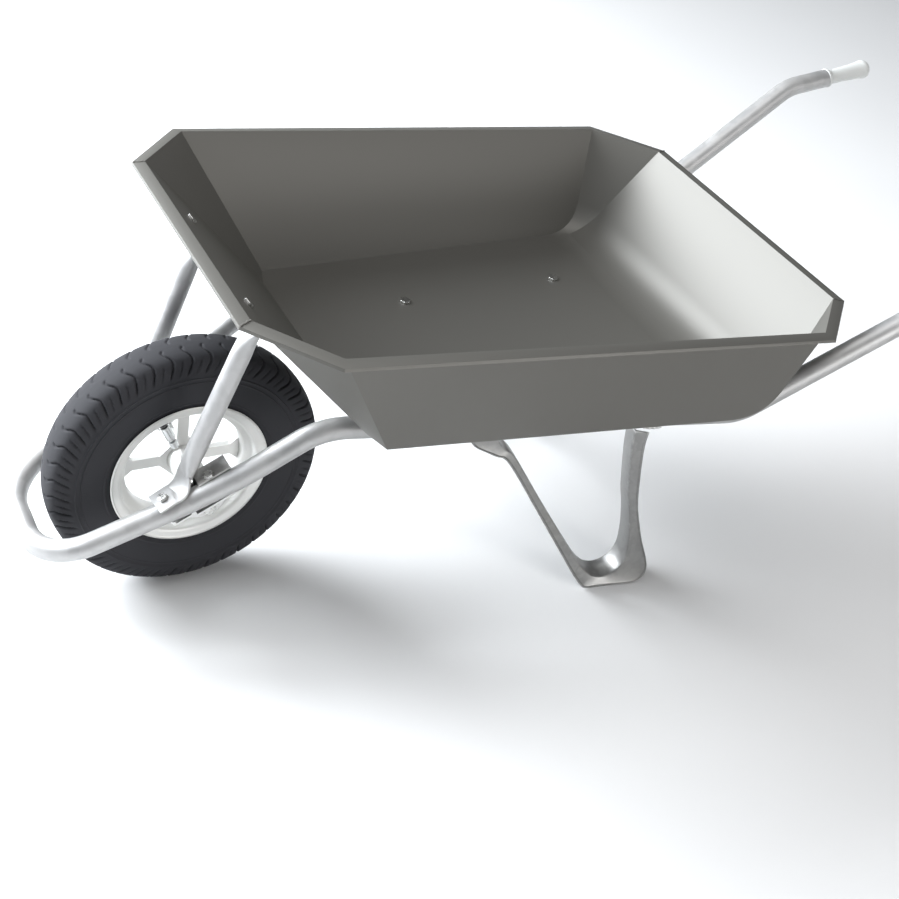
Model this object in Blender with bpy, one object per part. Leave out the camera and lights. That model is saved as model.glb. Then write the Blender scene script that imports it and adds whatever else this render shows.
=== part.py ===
"""Builder's wheelbarrow: folded steel tray, one bent frame tube, pneumatic wheel on a fixed axle.

Metres, +Z up. X runs from the wheel to the handles and Y across, so the left hand holds -Y.
Every size below is measured from the axle: x = 0 is the axle and z = 0 the ground. One empty
then carries the whole model, so that the origin lies on the ground under the overall box.
"""
import math

import bmesh
import bpy
from mathutils import Matrix, Vector

# ------------------------------------------------------------------ driving dimensions
GAP = 0.0003                       # left between pieces that touch

# Wheel
TYRE_RADIUS = 0.200
AXLE_HEIGHT = TYRE_RADIUS
RIM_SHEET = 0.0024
RIM_WELL_RADIUS = 0.0880
VALVE_ANGLE = math.radians(115.0)  # about the axle, from +X towards +Z
VALVE_HOLE_RADIUS = 0.0065
VALVE_Y = -0.0060                  # towards the left, clear of the arms
HUB_RADIUS = 0.0215
HUB_BORE = 0.0165
HUB_HALF_LENGTH = 0.047
AXLE_RADIUS = 0.008
AXLE_HALF_LENGTH = 0.119
BEARING_WIDTH = 0.012
SPIDER_RADIUS = 0.0865
SPIDER_DEPTH = 0.010
SPIDER_PLATE = 0.003
SPIDER_Y = 0.003                   # outer face of the arms, towards the left
ARM_HALF_WIDTH = 0.0085

# Frame tube: each half lies in an upright plane that opens towards the handles
TUBE_RADIUS = 0.016
TUBE_WALL = 0.0015
SPREAD_AT_AXLE = 0.132             # from the middle plane to the tube's centre line
SPREAD_SLOPE = 0.141               # widening for each metre towards the handles
NOSE_X, NOSE_Z = -0.2284, 0.1410
NOSE_BEND_RADIUS = 0.086
SEAT_FRONT_X, SEAT_FRONT_Z = -0.038, 0.2260   # straight seat for the axle bracket
SEAT_REAR_X, SEAT_REAR_Z = 0.040, 0.2667
SEAT_BEND_RADIUS = 0.20
FLOOR_START_X, FLOOR_BEND_RADIUS = 0.1404, 0.110   # from there the tube runs under the floor
REAR_BEND_X, REAR_BEND_RADIUS = 0.7834, 0.080  # under the tray's rear curve
HANDLE_BEND_X, HANDLE_BEND_Z = 1.2078, 0.5510
HANDLE_BEND_RADIUS = 0.10
HANDLE_END_X, HANDLE_END_Z = 1.2880, 0.5632
GRIP_LENGTH = 0.092

# Tray: inside faces
SHEET = 0.0015
RIM_FRONT_X, RIM_REAR_X = -0.002, 0.907
RIM_SIDE_FRONT_X, RIM_SIDE_REAR_X = 0.083, 0.823
RIM_FRONT_HALF, RIM_REAR_HALF = 0.212, 0.241
RIM_SIDE_FRONT_HALF, RIM_SIDE_REAR_HALF = 0.308, 0.3265
RIM_HEIGHT_AT_AXLE, RIM_SLOPE = 0.5686, -0.0953
FLOOR_FRONT_X, FLOOR_REAR_X = 0.1986, 0.7996
FLOOR_FRONT_HALF, FLOOR_REAR_HALF = 0.2350, 0.2821
FLOOR_HEIGHT_AT_AXLE, FLOOR_SLOPE = 0.3587, -0.0525
FLOOR_CORNER = 0.012               # small facets where the walls meet the floor
FLANGE_WIDTH = 0.017
FLANGE_DROP = 0.003
FOLD_RADIUS = 0.0035
REAR_CURVE_REACH = 0.058           # the floor rises to the rear walls on a curve this long
REAR_CURVE_STEPS = 7
SHARPEST_CURVE_STEP = math.radians(14)

# Stays
STAY_RADIUS = 0.014
STAY_TAB_HALF_WIDTH = 0.0205
STAY_TAB_THICKNESS = 0.004
STAY_FOOT_X = -0.0665              # bolt on the frame tube
STAY_FOOT_Y = 0.1195
STAY_TOP_Y = 0.112
STRAP_THICKNESS = 0.003

# Axle brackets, in a frame turned with the tube's seat
PLATE = 0.003
WEB_OUTER_Y = 0.1055
BRACKET_BOLT_Y = 0.1245
BRACKET_BOLT_ALONG = 0.024

# Legs
LEG_SHEET = 0.0025
RAIL_DEPTH = 0.018
RAIL_HALF_WIDTH = 0.020
RAIL_FRONT_X, RAIL_REAR_X = 0.388, 0.672
RAIL_FRONT_BOLT_Y, RAIL_REAR_BOLT_Y = 0.112, 0.140

# Fasteners, M8
BOLT_RADIUS = 0.0039
HOLE_RADIUS = 0.0044
HEAD_FLATS = 0.013
HEAD_HEIGHT = 0.0053
NUT_HEIGHT = 0.0065
LOW_HEAD_FLATS, LOW_HEAD_HEIGHT = 0.015, 0.0035   # heads inside the tray
SHANK_SIDES = 6
AXLE_NUT_FLATS, AXLE_NUT_HEIGHT = 0.024, 0.0105

TUBE_SIDES = 12
SPREAD_ANGLE = math.atan(SPREAD_SLOPE)
LEFT, RIGHT = -1, 1
SIDES = (("left", LEFT), ("right", RIGHT))


# ------------------------------------------------------------------ scene and mesh helpers
def clear_scene():
    for obj in list(bpy.data.objects):
        bpy.data.objects.remove(obj, do_unlink=True)


def material(name, colour, roughness, metallic):
    """One Principled material, made once for each name."""
    found = bpy.data.materials.get(name)
    if found:
        return found
    made = bpy.data.materials.new(name)
    made.use_nodes = True
    shader = made.node_tree.nodes["Principled BSDF"]
    shader.inputs["Base Color"].default_value = (*colour, 1.0)
    shader.inputs["Roughness"].default_value = roughness
    shader.inputs["Metallic"].default_value = metallic
    made.diffuse_color = (*colour, 1.0)
    return made


def empty(name, parent=None, location=(0, 0, 0)):
    obj = bpy.data.objects.new(name, None)
    obj.location = location
    obj.parent = parent
    bpy.context.scene.collection.objects.link(obj)
    return obj


def add_object(name, bm, finish, parent, smooth_angle=35):
    """Turns a closed bmesh into an object, its faces facing out."""
    bmesh.ops.recalc_face_normals(bm, faces=bm.faces)
    mesh = bpy.data.meshes.new(name)
    bm.to_mesh(mesh)
    bm.free()
    mesh.materials.append(finish)
    mesh.shade_smooth()
    mesh.set_sharp_from_angle(angle=math.radians(smooth_angle))
    obj = bpy.data.objects.new(name, mesh)
    obj.parent = parent
    bpy.context.scene.collection.objects.link(obj)
    return obj


def ring(bm, points):
    return [bm.verts.new(point) for point in points]


def join_rings(bm, first, second):
    """Quads between two closed rings of the same length."""
    count = len(first)
    for i in range(count):
        j = (i + 1) % count
        bm.faces.new((first[i], first[j], second[j], second[i]))


def loft(sections):
    """A closed solid through closed sections, capped at both ends."""
    bm = bmesh.new()
    rings = [ring(bm, points) for points in sections]
    for first, second in zip(rings, rings[1:]):
        join_rings(bm, first, second)
    bm.faces.new(rings[0])
    bm.faces.new(list(reversed(rings[-1])))
    return bm


def hollow_loft(outer_sections, inner_sections):
    """A tube open at both ends: outer skin, inner skin and two end faces."""
    bm = bmesh.new()
    outer = [ring(bm, points) for points in outer_sections]
    inner = [ring(bm, points) for points in inner_sections]
    for skin in (outer, inner):
        for first, second in zip(skin, skin[1:]):
            join_rings(bm, first, second)
    join_rings(bm, outer[0], inner[0])
    join_rings(bm, outer[-1], inner[-1])
    return bm


def revolve(outline, segments, closed=False):
    """Turns (height, radius) points about local Z. An open outline starts and ends on the axis."""
    bm = bmesh.new()
    columns = []
    for height, radius in outline:
        if radius < 1e-6:
            columns.append([bm.verts.new((0, 0, height))])
        else:
            columns.append(ring(bm, [
                (radius * math.cos(2 * math.pi * k / segments),
                 radius * math.sin(2 * math.pi * k / segments), height)
                for k in range(segments)]))
    pairs = list(zip(columns, columns[1:]))
    if closed:
        pairs.append((columns[-1], columns[0]))
    for first, second in pairs:
        if len(first) == 1 and len(second) == 1:
            continue
        if len(first) == 1 or len(second) == 1:
            pole, rim = (first[0], second) if len(first) == 1 else (second[0], first)
            for k in range(segments):
                bm.faces.new((pole, rim[k], rim[(k + 1) % segments]))
        else:
            join_rings(bm, first, second)
    return bm


def extrude_outline(points, offset):
    """A prism from a planar outline of Vectors, along the offset."""
    shift = Vector(offset)
    return loft([[Vector(p) for p in points], [Vector(p) + shift for p in points]])


def axis_matrix(origin, direction):
    """Local Z along the direction, at the origin."""
    turn = Vector((0, 0, 1)).rotation_difference(Vector(direction).normalized())
    return Matrix.Translation(Vector(origin)) @ turn.to_matrix().to_4x4()


def transformed(bm, matrix):
    bmesh.ops.transform(bm, matrix=matrix, verts=bm.verts)
    return bm


def offset_strip(points, thickness):
    """The closed outline of a bent sheet: its middle line, offset to both sides."""
    pts = [Vector(p) for p in points]
    front, back = [], []
    for i, point in enumerate(pts):
        before = (point - pts[i - 1]).normalized() if i else None
        after = (pts[i + 1] - point).normalized() if i + 1 < len(pts) else None
        along = ((before or after) + (after or before)).normalized()
        normal = Vector((-along.y, along.x))
        lean = normal.dot(Vector((-(after or before).y, (after or before).x)))
        front.append(point + normal * thickness / 2 / lean)
        back.append(point - normal * thickness / 2 / lean)
    return front + back[::-1]


def bent_path(corners, steps=5):
    """Points along a polyline whose corners are arcs: corners are (point, radius) pairs."""
    path = [Vector(corners[0][0])]
    for (before, _), (corner, radius), (after, _) in zip(corners, corners[1:], corners[2:]):
        before, corner, after = Vector(before), Vector(corner), Vector(after)
        entry = (before - corner).normalized()
        leave = (after - corner).normalized()
        turn = math.pi - entry.angle(leave)
        reach = radius * math.tan(turn / 2)
        centre = corner + (entry + leave).normalized() * radius / math.cos(turn / 2)
        start = corner + entry * reach - centre
        side = (corner + leave * reach - centre)
        count = max(2, math.ceil(steps * turn / math.radians(40)))
        for k in range(count + 1):
            share = k / count
            blend = (math.sin((1 - share) * turn) * start + math.sin(share * turn) * side)
            path.append(centre + blend / math.sin(turn))
    path.append(Vector(corners[-1][0]))
    return path


def sweep_sections(path, section, ups):
    """Places a 2D section (a list of (side, up) pairs, or a function of the index) along a path.

    ups is one direction that is carried along the path, or one for each point.
    """
    sections = []
    normal = Vector(ups[0]) if isinstance(ups, list) else Vector(ups)
    for i, point in enumerate(path):
        if isinstance(ups, list):
            normal = Vector(ups[i])
        ahead = path[min(i + 1, len(path) - 1)] - path[max(i - 1, 0)]
        ahead.normalize()
        normal = (normal - ahead * normal.dot(ahead)).normalized()
        side = ahead.cross(normal)
        shape = section(i) if callable(section) else section
        sections.append([point + side * a + normal * b for a, b in shape])
    return sections


def circle(radius, sides):
    return [(radius * math.cos(2 * math.pi * k / sides), radius * math.sin(2 * math.pi * k / sides))
            for k in range(sides)]


def drill(obj, holes):
    """Cuts round holes: each is (centre, direction, radius, half_length)."""
    bm = bmesh.new()
    for centre, direction, radius, half_length in holes:
        matrix = axis_matrix(centre, direction)
        sides = 12 if radius < 0.01 else 32
        outline = circle(radius / math.cos(math.pi / sides), sides)
        rings = [ring(bm, [matrix @ Vector((x, y, z)) for x, y in outline])
                 for z in (-half_length, half_length)]
        join_rings(bm, *rings)
        bm.faces.new(rings[0])
        bm.faces.new(list(reversed(rings[1])))
    cutter = add_object(obj.name + "_drill", bm, obj.data.materials[0], obj.parent)
    cutter.hide_render = True
    cutter.display_type = "WIRE"
    cut = obj.modifiers.new("holes", "BOOLEAN")
    cut.operation = "DIFFERENCE"
    cut.solver = "EXACT"
    cut.object = cutter


# ------------------------------------------------------------------ places shared by several pieces
def tube_y(x):
    """Distance of the frame tube's centre line from the middle plane, up to the handle bend."""
    return SPREAD_AT_AXLE + SPREAD_SLOPE * min(x, HANDLE_BEND_X)


def beside_tube(side, x, z, outward=0.0):
    """A point in the upright plane of one half of the tube, moved outward from that plane."""
    return Vector((x - outward * math.sin(SPREAD_ANGLE),
                   side * (tube_y(x) + outward * math.cos(SPREAD_ANGLE)), z))


def floor_z(x):
    return FLOOR_HEIGHT_AT_AXLE + FLOOR_SLOPE * x


def rim_z(x):
    return RIM_HEIGHT_AT_AXLE + RIM_SLOPE * x


def tube_under_floor_z(x):
    return floor_z(x) - SHEET - GAP - TUBE_RADIUS


FLOOR_NORMAL = Vector((-FLOOR_SLOPE, 0, 1)).normalized()
PANEL_DOWN = Vector((FLOOR_FRONT_X - FLOOR_CORNER - RIM_FRONT_X, 0,
                     floor_z(FLOOR_FRONT_X) - rim_z(RIM_FRONT_X))).normalized()
PANEL_OUT = Vector((PANEL_DOWN.z, 0, -PANEL_DOWN.x))     # from the front wall, forwards and down
SEAT_ALONG = Vector((SEAT_REAR_X - SEAT_FRONT_X, 0, SEAT_REAR_Z - SEAT_FRONT_Z)).normalized()
SEAT_UP = Vector((-SEAT_ALONG.z, 0, SEAT_ALONG.x))
SEAT_CENTRE_UP = ((SEAT_FRONT_Z - AXLE_HEIGHT) * SEAT_UP.z + SEAT_FRONT_X * SEAT_UP.x)


def panel_point(down, y, outward):
    """A point on the tray's front wall: along its slope from the rim, across, and out from it."""
    return Vector((RIM_FRONT_X, y, rim_z(RIM_FRONT_X))) + PANEL_DOWN * down + PANEL_OUT * outward


# ------------------------------------------------------------------ fasteners
def hexagon(flats):
    radius = flats / math.sqrt(3)
    return [(radius * math.cos(math.pi * k / 3), radius * math.sin(math.pi * k / 3)) for k in range(6)]


def head_on_shank(radius, flats, height, length):
    """Hexagon head above z = 0 and a round shank below it, as one closed solid."""
    bm = bmesh.new()
    top = ring(bm, [(x * 0.93, y * 0.93, height) for x, y in hexagon(flats)])
    rim = ring(bm, [(x, y, height * 0.82) for x, y in hexagon(flats)])
    base = ring(bm, [(x, y, 0.0) for x, y in hexagon(flats)])
    join_rings(bm, top, rim)
    join_rings(bm, rim, base)
    bm.faces.new(top)
    neck = ring(bm, [(x, y, 0.0) for x, y in circle(radius, SHANK_SIDES)])
    join_rings(bm, base, neck)
    tip = ring(bm, [(x, y, -length) for x, y in circle(radius, SHANK_SIDES)])
    join_rings(bm, neck, tip)
    bm.faces.new(tip)
    return bm


def bolt(name, seat, up, length, parent, finish, flats=HEAD_FLATS, height=HEAD_HEIGHT):
    """A hexagon bolt whose head stands on the seat point and whose shank runs against up."""
    up = Vector(up).normalized()
    bm = head_on_shank(BOLT_RADIUS, flats, height, length)
    return add_object(name, transformed(bm, axis_matrix(Vector(seat) + up * GAP, up)), finish, parent)


def nut(name, seat, up, parent, finish, flats=HEAD_FLATS, height=NUT_HEIGHT, bore=HOLE_RADIUS):
    """A hexagon nut with its lower face on the seat."""
    up = Vector(up).normalized()
    outer = [[Vector((x, y, z)) for x, y in hexagon(flats)] for z in (0.0, height)]
    hole = circle(bore / math.cos(math.pi / SHANK_SIDES), SHANK_SIDES)
    inner = [[Vector((x, y, z)) for x, y in hole] for z in (0.0, height)]
    bm = hollow_loft(outer, inner)
    return add_object(name, transformed(bm, axis_matrix(Vector(seat) + up * GAP, up)), finish, parent)


# ------------------------------------------------------------------ frame
def frame_corners():
    """Corner points and bend radii from the right handle, round the nose, to the left handle."""
    half = [
        (HANDLE_END_X, HANDLE_END_Z, 0.0),
        (HANDLE_BEND_X, HANDLE_BEND_Z, HANDLE_BEND_RADIUS),
        (REAR_BEND_X, tube_under_floor_z(REAR_BEND_X), REAR_BEND_RADIUS),
        (FLOOR_START_X, tube_under_floor_z(FLOOR_START_X), FLOOR_BEND_RADIUS),
        (SEAT_REAR_X, SEAT_REAR_Z, SEAT_BEND_RADIUS),
        (SEAT_FRONT_X, SEAT_FRONT_Z, SEAT_BEND_RADIUS),
        (NOSE_X, NOSE_Z, NOSE_BEND_RADIUS),
    ]
    right = [((x, tube_y(x), z), radius) for x, z, radius in half]
    left = [((x, -tube_y(x), z), radius) for x, z, radius in reversed(half)]
    return right + left


def frame_tube(root, steel):
    path = bent_path(frame_corners())
    up = (0, 0, 1)
    outer = sweep_sections(path, circle(TUBE_RADIUS, TUBE_SIDES), up)
    inner = sweep_sections(path, circle(TUBE_RADIUS - TUBE_WALL, TUBE_SIDES), up)
    obj = add_object("frame_tube", hollow_loft(outer, inner), steel, root)
    holes = []
    for _, side in SIDES:
        seat = stay_foot_seat(side)
        holes.append((seat, SEAT_UP_FRONT, HOLE_RADIUS, 0.045))
        holes.append((bracket_point(side, BRACKET_BOLT_ALONG, SEAT_CENTRE_UP, BRACKET_BOLT_Y),
                      SEAT_UP, HOLE_RADIUS, 0.025))
    drill(obj, holes)


def grips(root, plastic):
    """Plastic grips with a spigot inside the tube, a collar against its end and a rounded end."""
    along = Vector((HANDLE_END_X - HANDLE_BEND_X, 0, HANDLE_END_Z - HANDLE_BEND_Z)).normalized()
    spigot = TUBE_RADIUS - TUBE_WALL - 0.0006
    collar = 0.0170
    waist = 0.0128
    flare = 0.0168
    outline = [
        (-0.045, 0.0), (-0.045, spigot - 0.002), (-0.043, spigot), (GAP, spigot),
        (GAP, collar), (0.005, collar), (0.007, waist + 0.0015), (0.012, waist),
        (0.030, waist), (0.050, waist + 0.0006), (0.066, waist + 0.002), (0.076, flare - 0.0006),
        (0.083, flare), (0.088, flare - 0.0022), (GRIP_LENGTH - 0.001, flare - 0.0065),
        (GRIP_LENGTH, 0.0),
    ]
    for word, side in SIDES:
        end = Vector((HANDLE_END_X, side * tube_y(HANDLE_END_X), HANDLE_END_Z))
        bm = transformed(revolve(outline, 16), axis_matrix(end, along))
        add_object(f"grip_{word}", bm, plastic, root)


# ------------------------------------------------------------------ axle brackets and axle
def bracket_point(side, along, up, y):
    """A point in the bracket's frame, which starts at the axle and turns with the tube's seat."""
    flat = SEAT_ALONG * along + SEAT_UP * up
    return Vector((flat.x, side * y, AXLE_HEIGHT + flat.z))


def axle_bracket(word, side, root, steel, zinc):
    """Bent plate: a web beside the tube, a flange over the tube and two tabs under it.

    Each row is a cut across the plate: its place along the tube, the reach of the upper and
    lower flange, the web's bottom and its top.
    """
    top = SEAT_CENTRE_UP + TUBE_RADIUS + GAP
    low = SEAT_CENTRE_UP - TUBE_RADIUS - GAP
    inner, outer = WEB_OUTER_Y - PLATE - 0.001, WEB_OUTER_Y
    bm = bmesh.new()

    # the plate is one outline across the flanges, split where the flanges start and end
    def row(along, upper_y, lower_y, bottom, crest):
        points = [
            (inner, bottom), (outer, bottom),
            (outer, low - PLATE), (lower_y, low - PLATE), (lower_y, low), (outer, low),
            (outer, crest - PLATE), (upper_y, crest - PLATE), (upper_y, crest), (inner, crest),
        ]
        return [bracket_point(side, along, up, y) for y, up in points]

    full, cut_away = top + PLATE, top - 0.012
    reach_upper, reach_front, reach_rear, stub = 0.1300, 0.1345, 0.1400, WEB_OUTER_Y + 0.0004
    rows = [
        (-0.0560, stub, stub, low - PLATE - 0.004, cut_away),
        (-0.0470, stub, stub, 0.0040, cut_away),
        (-0.0465, stub, reach_front, 0.0035, cut_away),
        (-0.0230, stub, reach_front, -0.0120, cut_away),
        (-0.0225, stub, stub, -0.0125, cut_away),
        (-0.0165, stub, stub, -0.0160, cut_away),
        (-0.0160, stub, reach_rear, -0.0165, cut_away),
        (-0.0010, stub, reach_rear, -0.0210, cut_away),
        (0.0050, stub, reach_rear, -0.0210, full),
        (0.0055, reach_upper, reach_rear, -0.0210, full),
        (0.0160, reach_upper, reach_rear, -0.0175, full),
        (0.0420, reach_upper, reach_rear, 0.0020, full),
        (0.0425, reach_upper, stub, 0.0025, full),
        (0.0540, reach_upper, stub, low - PLATE - 0.004, full),
    ]
    rings = [ring(bm, row(*values)) for values in rows]
    for first, second in zip(rings, rings[1:]):
        join_rings(bm, first, second)
    bm.faces.new(rings[0])
    bm.faces.new(list(reversed(rings[-1])))
    obj = add_object(f"axle_bracket_{word}", bm, steel, root, smooth_angle=20)
    drill(obj, [
        ((0, side * WEB_OUTER_Y, AXLE_HEIGHT), (0, 1, 0), AXLE_RADIUS + 0.0004, 0.02),
        (bracket_point(side, BRACKET_BOLT_ALONG, SEAT_CENTRE_UP, BRACKET_BOLT_Y),
         SEAT_UP, HOLE_RADIUS, 0.03),
        (stay_foot_seat(side), SEAT_UP_FRONT, HOLE_RADIUS + 0.0004, 0.06),
    ])
    head = bracket_point(side, BRACKET_BOLT_ALONG, top + PLATE, BRACKET_BOLT_Y)
    foot = bracket_point(side, BRACKET_BOLT_ALONG, low - PLATE, BRACKET_BOLT_Y)
    grip = (head - foot).length
    bolt(f"bracket_bolt_{word}", head, SEAT_UP, grip + NUT_HEIGHT + 0.003, root, zinc)
    nut(f"bracket_nut_{word}", foot, -SEAT_UP, root, zinc)


def axle_parts(root, zinc):
    matrix = axis_matrix((0, 0, AXLE_HEIGHT), (0, 1, 0))
    end = AXLE_HALF_LENGTH
    outline = [(-end, 0.0), (-end, AXLE_RADIUS - 0.001), (-end + 0.001, AXLE_RADIUS),
               (end - 0.001, AXLE_RADIUS), (end, AXLE_RADIUS - 0.001), (end, 0.0)]
    add_object("axle", transformed(revolve(outline, 16), matrix), zinc, root)
    spacer_start = HUB_HALF_LENGTH + 0.0006
    spacer_end = WEB_OUTER_Y - PLATE - 0.001 - GAP
    for word, side in SIDES:
        tube = [(side * spacer_start, AXLE_RADIUS + GAP), (side * spacer_start, 0.0115),
                (side * spacer_end, 0.0115), (side * spacer_end, AXLE_RADIUS + GAP)]
        bm = transformed(revolve(tube, 16, closed=True), matrix)
        add_object(f"axle_spacer_{word}", bm, zinc, root)
        seat = Vector((0, side * WEB_OUTER_Y, AXLE_HEIGHT))
        nut(f"axle_nut_{word}", seat, (0, side, 0), root, zinc, flats=AXLE_NUT_FLATS,
            height=AXLE_NUT_HEIGHT, bore=AXLE_RADIUS + 0.0004)


# ------------------------------------------------------------------ stays
SEAT_UP_FRONT = Vector((-(SEAT_FRONT_Z - NOSE_Z), 0, SEAT_FRONT_X - NOSE_X)).normalized()


def front_run_z(x):
    """Height of the tube's centre line between the nose and the bracket's seat."""
    return NOSE_Z + (SEAT_FRONT_Z - NOSE_Z) * (x - NOSE_X) / (SEAT_FRONT_X - NOSE_X)


def stay_foot_seat(side):
    """Where the stay's lower tab rests on top of the tube, under its bolt."""
    reach = TUBE_RADIUS + 2 * GAP
    x = STAY_FOOT_X - SEAT_UP_FRONT.x * reach
    return Vector((x, side * STAY_FOOT_Y, front_run_z(x))) + SEAT_UP_FRONT * reach


def flat_round_section(flatness, sides=12):
    """A section between a circle (0) and a flattened tube end (1), of the same girth."""
    half_width = STAY_RADIUS + (STAY_TAB_HALF_WIDTH - STAY_RADIUS) * flatness
    half_height = STAY_RADIUS + (STAY_TAB_THICKNESS / 2 - STAY_RADIUS) * flatness
    power = 1.0 - 0.55 * flatness
    points = []
    for k in range(sides):
        a = 2 * math.pi * (k + 0.5) / sides
        c, s = math.cos(a), math.sin(a)
        points.append((half_width * math.copysign(abs(c) ** power, c),
                       half_height * math.copysign(abs(s) ** power, s)))
    return points


def stay(word, side, root, steel, zinc):
    """A round tube with flattened ends: one on the frame tube, one under the tray's front wall."""
    seat = stay_foot_seat(side)
    seat_along = Vector((SEAT_UP_FRONT.z, -side * 0.12, -SEAT_UP_FRONT.x)).normalized()
    lift = SEAT_UP_FRONT * STAY_TAB_THICKNESS / 2
    front_end = seat - seat_along * 0.014 + lift
    rear_end = seat + seat_along * 0.021 + lift
    out = SHEET + GAP + STRAP_THICKNESS + GAP + STAY_TAB_THICKNESS / 2
    top_bend = panel_point(0.0870, side * STAY_TOP_Y, out)
    top_end = panel_point(0.0400, side * STAY_TOP_Y, out)
    foot_bend = Vector((-0.0355, side * 0.1030, 0.2520))
    up = (top_bend - foot_bend).normalized()
    path = [front_end, seat + lift + seat_along * 0.006, rear_end,
            foot_bend + up * 0.004, foot_bend + up * 0.024, foot_bend + up * 0.050,
            top_bend - up * 0.055, top_bend - up * 0.030, top_bend - up * 0.010,
            top_bend + (top_end - top_bend).normalized() * 0.004,
            (top_bend + top_end) / 2, top_end]
    flat = [1.0, 1.0, 0.96, 0.80, 0.35, 0.0, 0.0, 0.35, 0.85, 1.0, 1.0, 1.0]
    ups = [SEAT_UP_FRONT] * 3 + [Vector((-0.96, 0, 0.29))] * 5 + [PANEL_OUT] * 4
    sections = sweep_sections(path, lambda i: flat_round_section(flat[i]), ups)
    obj = add_object(f"stay_{word}", loft(sections), steel, root)
    top_hole = panel_point(0.0560, side * STAY_TOP_Y, 0)
    drill(obj, [(seat, SEAT_UP_FRONT, HOLE_RADIUS, 0.01),
                (top_hole, PANEL_OUT, HOLE_RADIUS, 0.02)])
    head = seat + SEAT_UP_FRONT * STAY_TAB_THICKNESS
    bolt(f"stay_foot_bolt_{word}", head, SEAT_UP_FRONT, 0.053, root, zinc)
    under = seat - SEAT_UP_FRONT * (2 * TUBE_RADIUS + 2 * GAP + PLATE + 0.0020)
    nut(f"stay_foot_nut_{word}", under, -SEAT_UP_FRONT, root, zinc)
    inside = panel_point(0.0560, side * STAY_TOP_Y, 0)
    bolt(f"stay_top_bolt_{word}", inside, -PANEL_OUT, 0.022, root, zinc,
         flats=LOW_HEAD_FLATS, height=LOW_HEAD_HEIGHT)
    outside = panel_point(0.0560, side * STAY_TOP_Y, out + STAY_TAB_THICKNESS / 2)
    nut(f"stay_top_nut_{word}", outside, PANEL_OUT, root, zinc)


def stay_strap(root, steel):
    """Flat strap between the front wall and the two stays' upper tabs."""
    half = STAY_TOP_Y + 0.024
    low, high = 0.0700, 0.0420
    out = SHEET + GAP
    face = [panel_point(low, -half, out), panel_point(low, half, out),
            panel_point(high, half, out), panel_point(high, -half, out)]
    obj = add_object("stay_strap", extrude_outline(face, PANEL_OUT * STRAP_THICKNESS), steel, root)
    drill(obj, [(panel_point(0.0560, side * STAY_TOP_Y, 0), PANEL_OUT, HOLE_RADIUS, 0.02)
                for _, side in SIDES])


# ------------------------------------------------------------------ legs and cross rails
def leg_stations():
    """Down the front arm, round the foot and up the rear arm.

    Each station: crown (x, z), lip (x, z), crown half width, side half width at the lip, lip reach.
    """
    tube_low = 0.0165
    front_top_x, rear_top_x = 0.392, 0.6120
    return [
        ((front_top_x, tube_under_floor_z(front_top_x) - tube_low),
         (0.3500, tube_under_floor_z(0.35) - tube_low), 0.0130, 0.0165, 0.0200),
        ((0.3965, 0.2930), (0.3610, 0.2925), 0.0130, 0.0165, 0.0200),
        ((0.4075, 0.2790), (0.3930, 0.2735), 0.0130, 0.0160, 0.0200),
        ((0.4270, 0.2600), (0.4165, 0.2570), 0.0130, 0.0160, 0.0200),
        ((0.4885, 0.1620), (0.4790, 0.1570), 0.0140, 0.0170, 0.0205),
        ((0.5360, 0.0885), (0.5245, 0.0830), 0.0150, 0.0180, 0.0215),
        ((0.5680, 0.0410), (0.5540, 0.0350), 0.0165, 0.0195, 0.0235),
        ((0.5830, 0.0240), (0.5720, 0.0090), 0.0175, 0.0205, 0.0250),
        ((0.5950, 0.0155), (0.5830, 0.0), 0.0180, 0.0215, 0.0260),
        ((0.6110, 0.0125), (0.6110, 0.0), 0.0180, 0.0220, 0.0260),
        ((0.6270, 0.0180), (0.6400, 0.0), 0.0180, 0.0225, 0.0260),
        ((0.6380, 0.0290), (0.6620, 0.0015), 0.0180, 0.0225, 0.0260),
        ((0.6440, 0.0430), (0.6760, 0.0075), 0.0180, 0.0220, 0.0255),
        ((0.6455, 0.0560), (0.6820, 0.0200), 0.0175, 0.0215, 0.0250),
        ((0.6450, 0.0700), (0.6790, 0.0420), 0.0170, 0.0205, 0.0240),
        ((0.6425, 0.0950), (0.6630, 0.0830), 0.0160, 0.0190, 0.0225),
        ((0.6350, 0.1350), (0.6480, 0.1300), 0.0150, 0.0180, 0.0215),
        ((0.6265, 0.1700), (0.6395, 0.1670), 0.0140, 0.0170, 0.0205),
        ((0.6165, 0.2350), (0.6325, 0.2340), 0.0130, 0.0160, 0.0200),
        ((0.6130, 0.2680), (0.6335, 0.2700), 0.0130, 0.0160, 0.0200),
        ((rear_top_x, tube_under_floor_z(rear_top_x) - tube_low),
         (0.6400, tube_under_floor_z(0.640) - tube_low), 0.0130, 0.0165, 0.0200),
    ]


def hat_section(side, crown, lip, crown_half, side_half, lip_half):
    """Closed outline of the pressed sheet at one station of the leg."""
    depth = Vector((lip[0] - crown[0], lip[1] - crown[1]))
    share = LEG_SHEET / depth.length
    wall = (side_half - crown_half) * share + LEG_SHEET
    lower = [(-lip_half, 1.0), (-side_half, 1.0), (-crown_half, 0.0),
             (crown_half, 0.0), (side_half, 1.0), (lip_half, 1.0)]
    upper = [(lip_half, 1.0 - share), (side_half + LEG_SHEET, 1.0 - share),
             (crown_half + wall, -share), (-crown_half - wall, -share),
             (-side_half - LEG_SHEET, 1.0 - share), (-lip_half, 1.0 - share)]
    points = []
    for outward, down in lower + upper:
        spot = Vector(crown) + depth * down
        points.append(beside_tube(side, spot.x, spot.y, outward))
    return points


def leg(word, side, root, steel):
    sections = [hat_section(side, *station) for station in leg_stations()]
    add_object(f"leg_{word}", loft(sections), steel, root, smooth_angle=50)


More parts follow.
